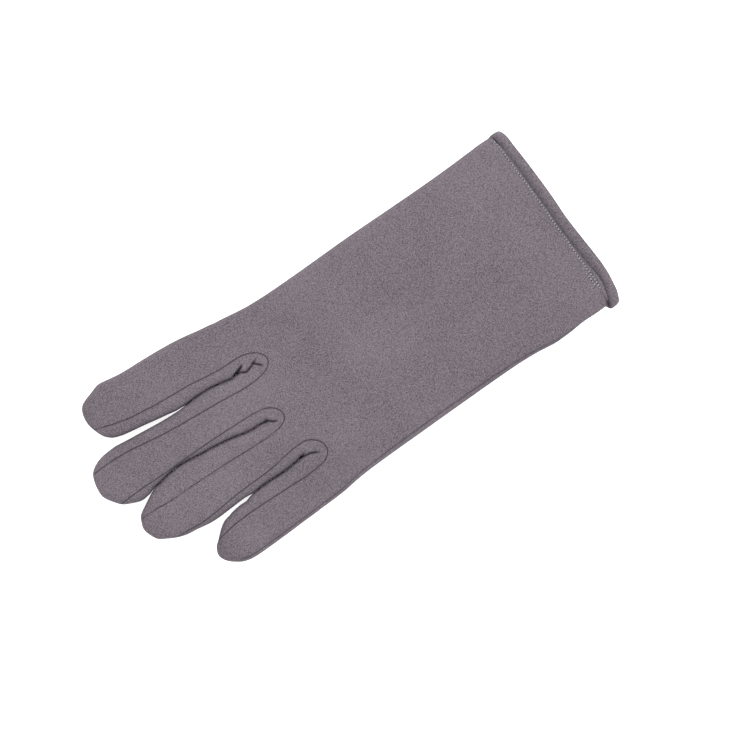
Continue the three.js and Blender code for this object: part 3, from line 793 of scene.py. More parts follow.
def hand_outline(cuff):
    """Up the little side, over the fingertips and round the seams, down the index side, back by the cuff."""
    hand = np.linspace(rim_radius, palm_length, 160)
    finger = np.linspace(palm_length, tips[0]["from"], 50)[1:]
    sides = [pairs(hand_edges(hand)[0], hand), pairs(finger_edges(0, finger)[0], finger)]
    edges = [resampled(np.concatenate(sides), 1.0)]
    for f in range(4):
        first = tips[f]["from"] if f == 0 else seam_meets_tip(f - 1, 1, seam_gap / 2)
        last = tips[f]["from"] if f == 3 else seam_meets_tip(f, -1, seam_gap / 2)
        edges.append(tip_line(f, first, last, 0.9))
        if f < 3:
            edges.append(seams[f])
    finger = np.linspace(tips[3]["from"], palm_length, 60)
    hand = np.linspace(palm_length, rim_radius, 160)[1:]
    sides = [pairs(finger_edges(3, finger)[1], finger), pairs(hand_edges(hand)[1], hand)]
    edges.append(resampled(np.concatenate(sides), 1.0))
    folds = [edges[i] for i in (0, 1, 3, 5, 7, 8)]
    return without_repeats(np.concatenate([*edges, cuff]), 1e-4), folds


def bezier(a, b, c, d):
    t = np.linspace(0, 1, 30)[:, None]
    a, b, c, d = (np.array(p, float) for p in (a, b, c, d))
    return (1 - t) ** 3 * a + 3 * t * (1 - t) ** 2 * b + 3 * t**2 * (1 - t) * c + t**3 * d


def vent_line(grow):
    """The vent's edge, from the button's side of the cuff round the slot to the buttonhole's side."""
    half = vent_width / 2 + grow
    right = half + button_flap_curve
    left = -half - hole_flap_curve
    deep = vent_mouth_depth + grow
    turn = vent_mouth_depth * 0.3 + grow
    button_pull = (right - button_flap_curve * flap_pull, turn)
    hole_pull = (left + hole_flap_curve * flap_pull, turn)
    from_button = bezier((right, grow), button_pull, (half, turn), (half, deep))
    to_hole = bezier((-half, deep), (-half, turn), hole_pull, (left, grow))
    round_end = arc((0, vent_length - vent_width / 2), half, 0, math.pi, 40)
    return np.concatenate([from_button, round_end, to_hole])


def laid_along_thumb(parts):
    """A closed outline from parts that are drawn upwards from the thumb's root."""
    x, y = np.concatenate(parts).T
    c, s = math.cos(thumb_angle), math.sin(thumb_angle)
    return evenly_closed(pairs(x * c - y * s, x * s + y * c) + thumb_root, 0.9)


def thumb_hole(radius):
    """A capsule along the thumb."""
    root = arc((0, 0), radius, math.pi, 2 * math.pi, 40)
    return laid_along_thumb([root, arc((0, thumb_hole_run), radius, 0, math.pi, 40)])


def waves(x, y):
    """The slow unevenness of soft cloth that lies flat, in millimetres."""
    return (
        0.16 * np.sin(x / 13.0 + 0.9 * np.sin(y / 31.0))
        + 0.13 * np.sin(y / 17.0 + x / 29.0 + 1.3)
        + 0.07 * np.sin(x / 6.1 - y / 9.7)
        + 0.05 * np.sin(x / 4.3 + y / 5.9 + 2.0)
    )


def seam_relief(gap, along):
    """How the cloth rises and falls beside a seam, at a distance from it and a run along it."""
    drop = seam_depth * (1 - filled(gap, seam_turn, 2))
    phase = along + 0.9 * np.sin(along / 4.7) + 0.5 * np.sin(along / 2.1)
    pucker = pucker_depth * np.sin(2 * math.pi * phase / pucker_pitch) * bell(gap, pucker_reach)
    return seam_puff * bell(gap - 2.0, 1.3) + pucker - drop


def crease_relief(points):
    """Each fold is a sharp groove that fades at its end, and the cloth beside it puffs up. Also the painted
    shade in its groove.
    """
    z = np.zeros(len(points))
    dark = np.zeros(len(points))
    for depth, line in sum(crease_lines, []):
        bent = resampled(line, 0.35)
        gap, along = distance_to(points, bent)
        groove = (1 - smooth(along / run_of(bent)[-1], 0.7, 1.05)) * bell(gap, crease_width)
        z += crease_puff * bell(gap - 1.3, 0.8) - depth * groove
        dark = np.maximum(dark, groove)
    return z, dark


def closed_gap_shade(points):
    """Hardly any light gets in where two fingers touch."""
    shade = np.zeros(len(points))
    for line, (top, dark) in enumerate(closed_gaps):
        y = np.linspace(gap_ends[line][1], top, 60)
        gap, _along = distance_to(points, pairs(sum(gap_at(line, y)) / 2, y))
        shade = np.maximum(shade, dark * bell(gap, closed_gap_width))
    return shade


def beside_seams(points):
    """Each point's distance from the nearest of the strips' seams, and how far along it that is."""
    gap = np.full(len(points), 1e9)
    along = np.zeros(len(points))
    for line in seams:
        one, run = distance_to(points, line)
        along = np.where(one < gap, run, along)
        gap = np.minimum(gap, one)
    return gap, along


def top_surface(points, folded):
    """Height of the glove's back with its seams, folds and unevenness, and the painted shade in its seams,
    creases and grooves.
    """
    x, y = points[:, 0], points[:, 1]
    share = fullness(x, y, back_roll_power)
    gap, along = beside_seams(points)
    creases, dark = crease_relief(points)
    groove, groove_shade = hem_groove_at(x, y)
    z = back_height(x, y) + (waves(x, y) + seam_relief(gap, along) - groove) * smooth(share, 0.05, 0.6)
    z += creases * smooth(share, 0.02, 0.3)
    side_groove = bell(distance_to(points, side_seam_line())[0], 0.3)
    z = np.maximum(z - side_seam_depth * side_groove, fold_height)
    z[folded] = fold_height
    # Painted shade in the seams, the creases, the side seam's groove, the hem's groove and where two fingers
    # touch
    seam_shade = 0.4 * bell(gap, seam_shade_width)
    shades = [seam_shade, dark, 0.5 * side_groove, groove_shade, closed_gap_shade(points)]
    return z, np.max(shades, axis=0)


def under_surface(points, folded):
    """Height of the palm side, which rests on the table, the thumb and the button."""
    x, y = points[:, 0], points[:, 1]
    gap, along = beside_seams(points)
    vent_gap, _along = distance_to(points, vent_line(0))
    thumb_gap, _along = distance_to(points, thumb_hole(thumb_hole_radius), closed=True)
    curl = 0.8 * (1 - filled(vent_gap, 0.9, 2))
    curl += 0.6 * (1 - filled(thumb_gap, 0.7, 2))
    curl += 0.22 * bell(vent_gap - facing_width, 0.7) * smooth(y, hem_depth, 12)
    flat_share = smooth(fullness(x, y, palm_roll_power), 0.05, 0.6)
    z = palm_height(x, y) - np.minimum(seam_relief(gap, along + 1.7), 0) * flat_share + curl
    z = np.minimum(z, fold_height)
    z[folded] = fold_height
    # Painted shade in the seams and at the edge of the thumb's hole
    return z, np.maximum(0.4 * bell(gap, seam_shade_width), 0.6 * bell(thumb_gap, 0.4))


def cloth_shell(name, over, under, folds):
    """One closed skin from an upper and an under sheet, joined where they fold over at an edge.

    A sheet is its flat cut and the function that gives its height and the painted shade in its seams, creases
    and grooves.
    """
    points = []
    faces = []
    # Painted shade kept on each point: the line attribute in seams, creases and grooves, the fold attribute
    # along the folded edges
    shade_marks = {"line": [], "fold": []}
    for (flat, corners), surface in (over, under):
        fold_gap = np.min([distance_to(flat, fold)[0] for fold in folds], axis=0)
        z, line = surface(flat, fold_gap < 1e-3)
        turned = corners[:, ::-1] if points else corners
        faces += (turned + sum(len(p) for p in points)).tolist()
        points.append(np.column_stack([flat[:, 0], bowed(flat[:, 0], flat[:, 1]), z]))
        shade_marks["line"].append(line)
        # Painted shade along the folded edges
        shade_marks["fold"].append(bell(fold_gap, fold_shade_width))
    joined_shades = {key: np.concatenate(values) for key, values in shade_marks.items()}
    piece = cloth_mesh(name, np.concatenate(points), faces, joined_shades)
    only(piece)
    bpy.ops.object.mode_set(mode="EDIT")
    bpy.ops.mesh.select_all(action="SELECT")
    bpy.ops.mesh.remove_doubles(threshold=2e-6)
    bpy.ops.object.mode_set(mode="OBJECT")
    return piece


def trank_piece():
    """The hand's cloth: its back and its palm, cut flat, joined along the side folds and the fingertips."""
    cuff_left, cuff_right = (float(x) for x in hand_edges(rim_radius))
    back_cuff = resampled([(cuff_right, rim_radius), (cuff_left, rim_radius)], edge_spacing)
    outline, folds = hand_outline(back_cuff)
    zones = [(end[0], end[1] - 10, 10, 0.9) for end in gap_ends]
    zones += [(x, 3.4, 5.8, 0.75) for x in np.arange(-44, 46, 6)]
    grooves = [side_seam_line(), hem_groove_line()]
    over = cut_cloth(outline, [], spacings["back"], hand_rings, zones, grooves)

    vent = vent_line(0)
    first, last = np.flatnonzero(vent[:, 1] > rim_radius)[[0, -1]]
    vent = vent[first : last + 1]
    vent[[0, -1], 1] = rim_radius
    palm_cuff = [
        resampled([(cuff_right, rim_radius), vent[0]], edge_spacing)[:-1],
        resampled(vent, 0.8),
        resampled([vent[-1], (cuff_left, rim_radius)], edge_spacing)[1:],
    ]
    palm_outline, _folds = hand_outline(np.concatenate(palm_cuff))
    holes = [thumb_hole(thumb_hole_radius), buttonhole_loop()]
    under = cut_cloth(palm_outline, holes, spacings["palm"], hand_rings)
    piece = cloth_shell("glove_cloth", (over, top_surface), (under, under_surface), folds)
    turn_cuff_in(piece)
    return piece


def turn_cuff_in(piece):
    """Rolls the cuff's edge inwards and runs it back as the hem's inner layer."""
    mesh = bmesh.new()
    mesh.from_mesh(piece.data)
    mesh.normal_update()
    cuff_high = shift[1] + (rim_radius + max(cuff_edge["y"]) + 0.2) / 1000
    ordered = []
    starts = {}
    for edge in mesh.edges:
        a, b = (vert.co for vert in edge.verts)
        level = max(a.y, b.y) < cuff_high and abs(a.y - b.y) < 0.5 * abs(a.x - b.x)
        if not (edge.is_boundary and level):
            continue
        loop = edge.link_loops[0]
        ordered.append((loop.link_loop_next.vert, loop.vert))
        for vert in edge.verts:
            starts[vert] = (vert.co.copy(), Vector((vert.normal.x, 0, vert.normal.z)).normalized())
    turns = np.radians(np.arange(30, 181, 30))
    stages = [(rim_radius * (math.cos(turn) - 1), -rim_radius * math.sin(turn)) for turn in turns]
    stages += [(-2 * rim_radius, hem_layer * share) for share in (0.1, 0.3, 0.6, 1.0)]
    # Painted shade along the cuff's roll, kept in the fold attribute
    edge_shade = mesh.verts.layers.float["fold"]
    row = {vert: vert for vert in starts}
    for turn, (out, along) in enumerate(stages):
        following = {}
        drawn_in = hem_draws_in * float(smooth(along, 0, 8))
        for vert, (place, outward) in starts.items():
            inward = (shift[0] - place.x) * drawn_in
            made = mesh.verts.new(place + outward * out / 1000 + Vector((inward, along / 1000, 0)))
            if outward.z < 0:
                x, y = ((made.co[i] - shift[i]) * 1000 for i in range(2))
                made.co.z += float(lift(x, y)) / 1000
            made[edge_shade] = rim_shades[turn] if turn < len(rim_shades) else 0
            following[vert] = made
        for a, b in ordered:
            mesh.faces.new((row[a], row[b], following[b], following[a]))
        row = following
    mesh.normal_update()
    mesh.to_mesh(piece.data)
    mesh.free()


def gap_line(line):
    """The gap between two fingers, down from the one fingertip's seam, round its end and up the other's."""
    end = gap_ends[line]
    down = np.linspace(seam_meets_tip(line, -1, -seam_gap / 2), end[1], 150)
    up = np.linspace(end[1], seam_meets_tip(line, 1, -seam_gap / 2), 150)
    round_end = arc(end, 0.01, math.pi, 2 * math.pi, 7)[1:-1]
    sides = [pairs(finger_edges(line, down)[1], down), pairs(finger_edges(line + 1, up)[0], up)]
    return resampled(np.concatenate([sides[0], round_end, sides[1]]), 0.5)


def fourchette_piece(line):
    """The cloth strip between two fingers, from its seam on the back over the side to its seam in the palm."""
    inner = gap_line(line)[::-1]
    outline = without_repeats(np.concatenate([seam_line(line, -seam_gap / 2, 0.6), inner]), 1e-3)
    creases = [resampled(points, 0.35) for _depth, points in crease_lines[line]]
    end = gap_ends[line]
    zone = (end[0], end[1] - 6, 8, 0.45)
    over = cut_cloth(outline, [], spacings["strip_back"], strip_rings, [zone], creases)
    under = cut_cloth(outline, [], spacings["strip_palm"], strip_rings)
    return cloth_shell("strip_" + gap_names[line], (over, top_surface), (under, under_surface), [inner])


def thumb_outline():
    """The folded thumb's outline: a wide round end at its root and a narrower one at its tip."""
    centre = thumb_reach - thumb_tip_radius
    side = np.linspace(0, 1, 60)[1:-1]
    half = thumb_base_radius + (thumb_tip_radius - thumb_base_radius) * smooth(side, 0, 0.6)
    root = arc((0, 0), thumb_base_radius, math.pi, 2 * math.pi, 50)
    tip = arc((0, centre), thumb_tip_radius, 0, math.pi, 50)
    return laid_along_thumb([root, pairs(half, side * centre), tip, pairs(-half, side * centre)[::-1]])


def thumb_heights(points):
    """The thumb's height where it lies, how full it is there, how far in from its edge and how far along."""
    gap, _along = distance_to(points, thumb_outline(), closed=True)
    along, _off = on_thumb(points[:, 0], points[:, 1])
    tall = cloth_wall + (thumb_height - cloth_wall) * smooth(along, -thumb_hole_radius, thumb_rise)
    return tall, filled(gap, 3.2, 2.6), gap, along


def thumb_over(points, folded):
    tall, full, _gap, _along = thumb_heights(points)
    return tall / 2 + tall / 2 * full, np.zeros(len(points))


def thumb_under(points, folded):
    """The side towards the table, with the seam's groove just inside its edge, and the pleat at its root, and
    painted shade in both.
    """
    tall, full, gap, along = thumb_heights(points)
    groove = bell(gap - 1.7, 0.35) * smooth(along, thumb_hole_run, thumb_hole_run + 25)
    fold_gap, fold_run = distance_to(points, resampled(thumb_pleat, 0.5))
    fold = bell(fold_gap, 0.45) * smooth(fold_run, 0, 1.5) * (1 - smooth(fold_run, 6, 14))
    z = tall / 2 - tall / 2 * full + 0.3 * groove + 0.7 * fold * full
    return z, np.maximum(0.8 * groove, fold)


def thumb_piece():
    """The thumb, folded flat under the palm, and open towards the hand over its root."""
    outline = thumb_outline()
    mouth = thumb_hole(thumb_base_radius - cloth_wall)
    over = cut_cloth(outline, [mouth], spacings["thumb_over"], thumb_rings[:4])
    pleat = resampled(thumb_pleat, 0.5)
    under = cut_cloth(outline, [], spacings["thumb_under"], thumb_rings, creases=[pleat])
    return cloth_shell("thumb_cloth", (over, thumb_over), (under, thumb_under), [outline])


def facing_piece():
    """The strip that backs the vent, laid against the inside of the palm."""
    edge, outer = (line[line[:, 1] > facing_setback] for line in (vent_line(0), vent_line(facing_width)))
    outline = np.concatenate([resampled(outer, 1.0), resampled(edge[::-1], 0.9)])
    flat, faces = cut_cloth(outline, [], spacings["facing"], facing_rings)
    z = palm_height(flat[:, 0], flat[:, 1]) + cloth_wall + lay_gap
    shade_marks = {"line": np.zeros(len(flat)), "fold": np.zeros(len(flat))}
    points = np.column_stack([flat[:, 0], bowed(flat[:, 0], flat[:, 1]), z])
    return cloth_mesh("vent_facing_cloth", points, faces[:, ::-1].tolist(), shade_marks)


def buttonhole_loop():
    x, y = buttonhole_place
    corners = [(-1, -1), (1, -1), (1, 1), (-1, 1)]
    loop = [(x + a * buttonhole_length / 2, y + b * buttonhole_width / 2) for a, b in corners]
    return evenly_closed(loop, 0.5)


def bead_mesh(name, beads, sides=6):
    """Short rounded strands. A bead is a middle, a way along, an upward way, a length, a width and a height."""
    rings = [(-0.86, 0.62), (-0.45, 1.0), (0.45, 1.0), (0.86, 0.62)]
    turn = np.arange(sides) * 2 * math.pi / sides
    shape = [(along, r * math.cos(t), r * math.sin(t)) for along, r in rings for t in turn]
    shape = np.array([*shape, (-1, 0, 0), (1, 0, 0)])
    start, end = len(shape) - 2, len(shape) - 1
    last = (len(rings) - 1) * sides
    faces = []
    for first in range(0, last, sides):
        for i in range(sides):
            a = first + i
            b = first + (i + 1) % sides
            faces.append((a, a + sides, b + sides, b))
    for i in range(sides):
        faces.append((start, i, (i + 1) % sides))
        faces.append((end, last + (i + 1) % sides, last + i))
    points = []
    all_faces = []
    for middle, way, upward, *sizes in beads:
        way = np.asarray(way, float) / np.linalg.norm(way)
        upward = np.asarray(upward, float)
        upward = upward - way * (upward @ way)
        upward /= np.linalg.norm(upward)
        across = np.cross(upward, way)
        first = len(points) * len(shape)
        size = shape * (np.array(sizes) / 2)
        points.append(middle + size[:, :1] * way + size[:, 1:2] * across + size[:, 2:] * upward)
        all_faces += [tuple(first + corner for corner in face) for face in faces]
    piece = cloth_mesh(name, np.concatenate(points), all_faces)
    only(piece)
    bpy.ops.object.shade_smooth()
    return piece


def height_on(cloth, upper):
    """Finds the cloth's height at a place in the glove's frame, from above or from below."""
    way = Vector((0, 0, -1 if upper else 1))

    def height_at(x, y):
        start = Vector(placed([[x, y, 0]])[0])
        start.z = 0.05 if upper else -0.02
        hit, place, _normal, _face = cloth.ray_cast(start, way)
        return place.z * 1000 if hit else None

    return height_at


def stitch_beads(line, height_at, upward):
    """Dashes along a line that follow a surface, and dark dots of painted shade between them."""
    line = resampled(line, 0.2)
    line = pairs(line[:, 0], bowed(line[:, 0], line[:, 1]))
    run = run_of(line)

    def spot(at):
        x, y = (float(np.interp(at, run, line[:, axis])) for axis in (0, 1))
        return x, y, height_at(x, y)

    threads, shade_dots = [], []
    for middle in np.arange(stitch_pitch / 2, run[-1] - stitch_pitch, stitch_pitch):
        spots = [spot(middle + step) for step in (-0.35, 0, 0.35, stitch_pitch / 2)]
        if any(z is None for _x, _y, z in spots):
            continue
        # The last spot, half a pitch on, is where a dot of painted shade goes
        before, here, after, hole = (np.array(one) for one in spots)
        lifted = np.array([0, 0, 0.1 * upward[2]])
        threads.append((here + lifted, after - before, upward, *stitch_size))
        shade_dots.append((hole + lifted / 2, after - before, upward, *stitch_shade_size))
    return threads, shade_dots


def on_back(points):
    return top_surface(points, np.zeros(len(points), bool))[0]


def kept_runs(line, kept):
    """The parts of a line whose points are all kept, without very short ones."""
    turns = np.flatnonzero(np.diff(np.concatenate([[0], kept, [0]])))
    return [line[start:end] for start, end in zip(turns[::2], turns[1::2]) if end - start > 3]


def topstitching(cloth):
    """All rows of stitches: along the hem on both sides, round the vent and round the thumb's root."""
    vent = vent_line(0)
    across = pairs(np.linspace(-43, 43, 200), palm_hem_height)
    beyond_vent = ~inside(across, vent) & (distance_to(across, vent)[0] > 3.4)
    by_vent = vent_line(vent_stitch_inset)
    by_thumb = thumb_hole(thumb_hole_radius + thumb_stitch_inset)
    palm_rows = kept_runs(across, beyond_vent) + kept_runs(by_vent, by_vent[:, 1] > palm_hem_height)
    palm_rows += kept_runs(by_thumb, on_thumb(by_thumb[:, 0], by_thumb[:, 1])[0] < thumb_hole_run)
    above, below = height_on(cloth, True), height_on(cloth, False)
    made = [stitch_beads(eased(line, 2.0), above, (0, 0, 1)) for line in back_hem_stitches]
    made += [stitch_beads(line, below, (0, 0, -1)) for line in palm_rows]
    return [sum(lists, []) for lists in zip(*made)]


def buttonhole_beads(cloth):
    """Close stitches round the buttonhole, with a bar at each end."""
    beads = []
    below = height_on(cloth, False)
    half = buttonhole_length / 2 + 1.4
    for x in np.arange(-half, half + 0.01, 0.42):
        for side in (-1, 1):
            place = buttonhole_place + (x, side * 0.95)
            middle = (*place, below(*place) - 0.1)
            beads.append((middle, (0.1, side, 0), (0, 0, -1), 1.25, *buttonhole_thread))
    for end in (-1, 1):
        for i in range(4):
            place = buttonhole_place + (end * (half + 0.25 - 0.35 * i), 0)
            z = below(place[0], place[1] + 1.2) - 0.16
            beads.append(((*place, z), (0.05, 1, 0), (0, 0, -1), 3.0, *buttonhole_thread))
    return beads


def zigzag_beads():
    """The crossed stitches that hold the hem's inner layer, which show inside the cuff's mouth."""
    beads = []
    for i, x in enumerate(np.arange(-42, 42, 1.0)):
        z = float(on_back(np.array([[x, 8.0]]))[0]) - 2 * rim_radius - cloth_wall - 0.12
        if abs(x) < 40:
            middle = (x, crossed_stitch_height, z)
            beads.append((middle, (1.0, 1.5 if i % 2 else -1.5, 0), (0, 0, -1), 1.9, 0.4, 0.3))
    return beads


def lens_cutter(depth):
    """A prism with the outline of the button's eye."""
    half = eye_length / 2
    rise = np.linspace(-half, half, 15)
    bulge = eye_width / 2 * (1 - (rise / half) ** 2)
    loop = [*zip(bulge, rise), *zip(-bulge[-2:0:-1], rise[-2:0:-1])]
    count = len(loop)
    points = [(x / 1000, y / 1000, z / 1000) for z in (-1.0, depth) for x, y in loop]
    faces = [tuple(reversed(range(count))), tuple(range(count, 2 * count))]
    faces += [(i, (i + 1) % count, count + (i + 1) % count, count + i) for i in range(count)]
    return new_object("eye_cutter", points, faces)


def cut_away(piece, cutter):
    reshape(piece, "BOOLEAN", operation="DIFFERENCE", object=cutter)
    bpy.data.objects.remove(cutter)


def button_piece():
    """A resin button with a raised rim, a lens-shaped eye and two holes, its face towards the table."""
    bpy.ops.object.select_all(action="DESELECT")
    tall = button_thickness / 1000
    radius, place = button_diameter / 2000, (0, 0, tall / 2)
    bpy.ops.mesh.primitive_cylinder_add(vertices=72, radius=radius, depth=tall, location=place)
    disc = bpy.context.object
    disc.name = "button_disc"
    bpy.ops.object.transform_apply(location=True, rotation=False, scale=False)
    bpy.ops.object.mode_set(mode="EDIT")
    bpy.ops.mesh.select_all(action="DESELECT")
    mesh = bmesh.from_edit_mesh(disc.data)
    for face in mesh.faces:
        face.select = face.normal.z < -0.9
    bmesh.update_edit_mesh(disc.data)
    bpy.ops.mesh.inset(thickness=button_rim / 1000)
    bpy.ops.mesh.inset(thickness=button_slope_width / 1000)
    bpy.ops.transform.translate(value=(0, 0, button_dish / 1000))
    bpy.ops.object.mode_set(mode="OBJECT")
    reshape(disc, "BEVEL", width=button_rounding / 1000, segments=4, limit_method="ANGLE")
    cut_away(disc, lens_cutter(button_dish + eye_depth))
    for side in (-1, 1):
        place = (0, side * thread_hole_spacing / 2000, 0)
        radius = thread_hole_radius / 1000
        bpy.ops.mesh.primitive_cylinder_add(vertices=24, radius=radius, depth=0.02, location=place)
        cut_away(disc, bpy.context.object)
    only(disc)
    disc.location = placed([[*button_place, 0]])[0]
    bpy.ops.object.transform_apply(location=True, rotation=False, scale=False)
    bpy.ops.object.shade_smooth_by_angle(angle=math.radians(35))
    return disc


def button_thread_piece():
    """Three strands across the button's eye, and four up through its holes to the palm."""
    beads = []
    top = button_thickness + shank_length - lay_gap
    x, y = button_place
    for aside in (-0.36, 0.0, 0.36):
        middle = (x + aside, y, 0.62)
        beads.append((middle, (0.06, 1, 0), (0, 0, -1), thread_hole_spacing + 0.5, *button_strand))
    for side in (-1, 1):
        for aside in (-0.2, 0.2):
            middle = (x + aside, y + side * thread_hole_spacing / 2, (0.6 + top) / 2)
            beads.append((middle, (0, 0, 1), (1, 0, 0), top - 0.6, 0.42, 0.42))
    return bead_mesh("button_strands", beads, 8)


def add_node(tree, kind, values=None, **settings):
    """A shader node with its settings and its constant inputs."""
    node = tree.nodes.new("ShaderNode" + kind)
    for key, value in settings.items():
        setattr(node, key, value)
    for key, value in (values or {}).items():
        node.inputs[key].default_value = value
    return node


def new_material(name, values):
    """A material, its node tree, and its Principled BSDF with constant inputs."""
    made = bpy.data.materials.new(name)
    made.use_nodes = True
    skin = made.node_tree.nodes["Principled BSDF"]
    for key, value in values.items():
        skin.inputs[key].default_value = value
    return made, made.node_tree, skin


def table_piece():
    """A white table with a little light of its own, like the photograph's white ground."""
    bpy.ops.mesh.primitive_plane_add(size=6)
    table = bpy.context.object
    table.name = "table"
    glow = {"Emission Color": (1, 1, 1, 1), "Emission Strength": 0.75}
    paint = new_material("table_white", {"Base Color": (0.9, 0.9, 0.9, 1), "Roughness": 0.8, **glow})[0]
    table.data.materials.append(paint)


def knit_group():
    """Fine jersey: speckle, ribs and slow unevenness of tone as one shade round 1, and its height."""
    group = bpy.data.node_groups.new("knit", "ShaderNodeTree")
    group.interface.new_socket(name="Place", in_out="INPUT", socket_type="NodeSocketVector")
    for name in jersey_knit:
        group.interface.new_socket(name=name, in_out="INPUT", socket_type="NodeSocketFloat")
    for name in ("Shade", "Height"):
        group.interface.new_socket(name=name, in_out="OUTPUT", socket_type="NodeSocketFloat")
    given = group.nodes.new("NodeGroupInput").outputs
    out = group.nodes.new("NodeGroupOutput").inputs
    links = group.links
    turned = add_node(group, "Mapping", {"Rotation": (0.6, 0.7, 0.5)})
    links.new(given["Place"], turned.inputs["Vector"])

    def noise(scale, detail):
        node = add_node(group, "TexNoise", {"Scale": scale, "Detail": detail})
        links.new(turned.outputs["Vector"], node.inputs["Vector"])
        return node.outputs["Fac"]

    def maths(kind, a, b):
        node = add_node(group, "Math", operation=kind)
        for socket, value in zip(node.inputs, (a, b)):
            if isinstance(value, (int, float)):
                socket.default_value = value
            else:
                links.new(value, socket)
        return node.outputs[0]

    fine = maths("SUBTRACT", noise(2100.0, 1.0), 0.5)
    slow = maths("SUBTRACT", noise(28.0, 3.0), 0.5)
    bands = {"Scale": 420.0, "Distortion": 1.2, "Detail Scale": 3.0}
    wave = add_node(group, "TexWave", bands, bands_direction="X")
    links.new(given["Place"], wave.inputs["Vector"])
    rib = maths("SUBTRACT", wave.outputs["Fac"], 0.5)
    shade = maths("MULTIPLY", fine, given["Speckle"])
    shade = maths("ADD", shade, maths("MULTIPLY", rib, given["Ribs"]))
    shade = maths("ADD", shade, maths("MULTIPLY", slow, given["Tone"]))
    links.new(maths("ADD", shade, 1.0), out["Shade"])
    links.new(maths("ADD", fine, maths("MULTIPLY", rib, 0.4)), out["Height"])
    return group


def tinted(tree, colour, shade):
    """A colour times a shade that changes over the surface."""
    values = {"Factor": 1.0, "A": (*colour, 1)}
    mix = add_node(tree, "Mix", values, data_type="RGBA", blend_type="MULTIPLY")
    tree.links.new(shade, mix.inputs["B"])
    return mix.outputs["Result"]


def jersey_material(name, colour):
    """Knitted cloth with painted shade: near black mixed in along its seams, creases and grooves, and more
    faintly along its folded edges.
    """
    cloth, tree, skin = new_material(name, {"Roughness": 0.95, "Specular IOR Level": 0.2})
    knitted = add_node(tree, "Group", jersey_knit, node_tree=knit)
    tree.links.new(add_node(tree, "TexCoord").outputs["Object"], knitted.inputs["Place"])
    last = tinted(tree, colour, knitted.outputs["Shade"])
    # Painted shade: the line and fold attributes mix the colour towards near black
    for shade_name, strength in (("line", 0.8), ("fold", 0.25)):
        attribute = add_node(tree, "Attribute", attribute_name=shade_name)
        amount = add_node(tree, "Math", {1: strength}, operation="MULTIPLY")
        tree.links.new(attribute.outputs["Fac"], amount.inputs[0])
        mix = add_node(tree, "Mix", {"B": (*jersey_shade_colour, 1)}, data_type="RGBA")
        tree.links.new(amount.outputs[0], mix.inputs["Factor"])
        tree.links.new(last, mix.inputs["A"])
        last = mix.outputs["Result"]
    tree.links.new(last, skin.inputs["Base Color"])
    bump = add_node(tree, "Bump", {"Strength": 0.5, "Distance": 0.00015})
    tree.links.new(knitted.outputs["Height"], bump.inputs["Height"])
    tree.links.new(bump.outputs["Normal"], skin.inputs["Normal"])
    return cloth


def plain_material(name, colour, roughness, speckle, scale):
    """A finish with a fine mottle: thread, the dots of painted shade between stitches, and the button's resin.
    """
    made, tree, skin = new_material(name, {"Roughness": roughness})
    mottle = add_node(tree, "TexNoise", {"Scale": scale, "Detail": 3.0})
    tree.links.new(add_node(tree, "TexCoord").outputs["Object"], mottle.inputs["Vector"])
    bounds = {"From Min": 0.3, "From Max": 0.7, "To Min": 1 - speckle, "To Max": 1 + speckle}
    ramp = add_node(tree, "MapRange", bounds)
    tree.links.new(mottle.outputs["Fac"], ramp.inputs["Value"])
    tree.links.new(tinted(tree, colour, ramp.outputs["Result"]), skin.inputs["Base Color"])
    return made


def photo_centre():
    """The point of the glove's own frame that is in the middle of the photograph."""
    right = (photo_side / 2 - photo_mark[0]) * photo_scale
    up = (photo_mark[1] - photo_side / 2) * photo_scale
    return [photo_mark_place[i] + right * photo_right[i] + up * photo_up[i] for i in range(2)]


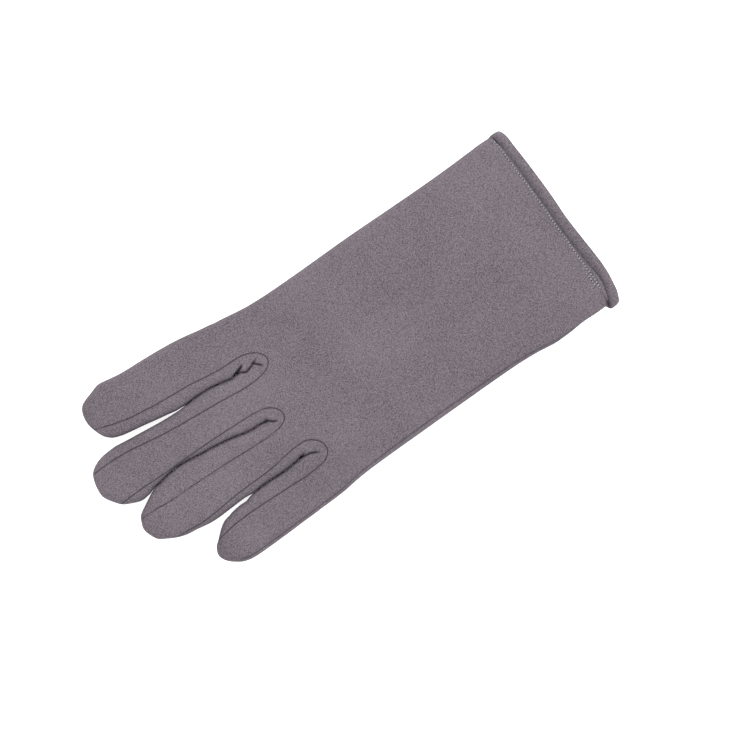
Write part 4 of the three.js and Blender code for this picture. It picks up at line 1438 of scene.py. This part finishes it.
def light_and_camera():
    """Even white light from all round, a large lamp by the window, and the photograph's view from above."""
    scene = bpy.context.scene
    world = bpy.data.worlds.new("studio")
    world.use_nodes = True
    sky = world.node_tree.nodes["Background"].inputs
    sky["Color"].default_value = (1, 1, 1, 1)
    sky["Strength"].default_value = 1.0
    scene.world = world
    scene.view_settings.view_transform = "Standard"
    lamp = bpy.data.lights.new("window", "AREA")
    lamp.shape = "DISK"
    lamp.size = lamp_width
    lamp.energy = lamp_power
    place = bpy.data.objects.new("window", lamp)
    place.location = lamp_place
    place.rotation_euler = (-place.location).to_track_quat("-Z", "Y").to_euler()
    scene.collection.objects.link(place)

    camera = bpy.data.cameras.new("overhead")
    camera.sensor_width = 36
    camera.lens = camera.sensor_width * camera_height / (photo_scale * photo_side / 1000)
    camera.clip_end = 20
    eye = bpy.data.objects.new("overhead", camera)
    right = Vector((*photo_right, 0)).normalized()
    back = Vector((0, 0, 1))
    turn = Matrix((right, back.cross(right), back)).transposed().to_4x4()
    x, y, _z = placed([[*photo_centre(), 0]])[0]
    eye.matrix_world = Matrix.Translation((x, y, camera_height + glove_top)) @ turn
    scene.collection.objects.link(eye)
    scene.camera = eye


def finish(piece, material, slot, *nodes):
    """Gives a piece its material and puts it in the place of the nodes it stands for."""
    piece.data.materials.append(material)
    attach(piece, "root")
    if nodes:
        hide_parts(*nodes)


knit = knit_group()
jersey = jersey_material("grey_jersey", (0.149, 0.126, 0.146))
facing_jersey = jersey_material("facing_jersey", (0.135, 0.114, 0.131))
thread = plain_material("grey_thread", (0.31, 0.31, 0.34), 0.7, 0.2, 900)
# Near black dots of painted shade between the stitches
stitch_shade = plain_material("stitch_shade", (0.02, 0.018, 0.022), 0.95, 0.3, 900)
resin = plain_material("grey_resin", (0.13, 0.165, 0.17), 0.3, 0.35, 260)

table_piece()
trank = trank_piece()
give_wall(trank, cloth_wall)
finish(trank, jersey, "jersey", "trank_back", "trank_palm")
for line, name in enumerate(gap_names):
    strip = fourchette_piece(line)
    give_wall(strip, cloth_wall)
    finish(strip, jersey, "jersey", "fourchette_" + name)
thumb = thumb_piece()
give_wall(thumb, cloth_wall)
finish(thumb, jersey, "jersey", "thumb")
facing = facing_piece()
give_wall(facing, facing_wall)
finish(facing, facing_jersey, "facing_cloth", "vent_facing")
finish(button_piece(), resin, "button_resin", "button")
finish(button_thread_piece(), thread, "sewing_thread", "button_thread")
threads, shade_dots = topstitching(trank)
finish(bead_mesh("topstitching", threads), thread, "sewing_thread")
finish(bead_mesh("stitch_shade_dots", shade_dots), stitch_shade, "sewing_thread")
finish(bead_mesh("buttonhole_stitches", buttonhole_beads(trank)), thread, "sewing_thread")
finish(bead_mesh("hem_crossed_stitches", zigzag_beads()), thread, "sewing_thread")

light_and_camera()
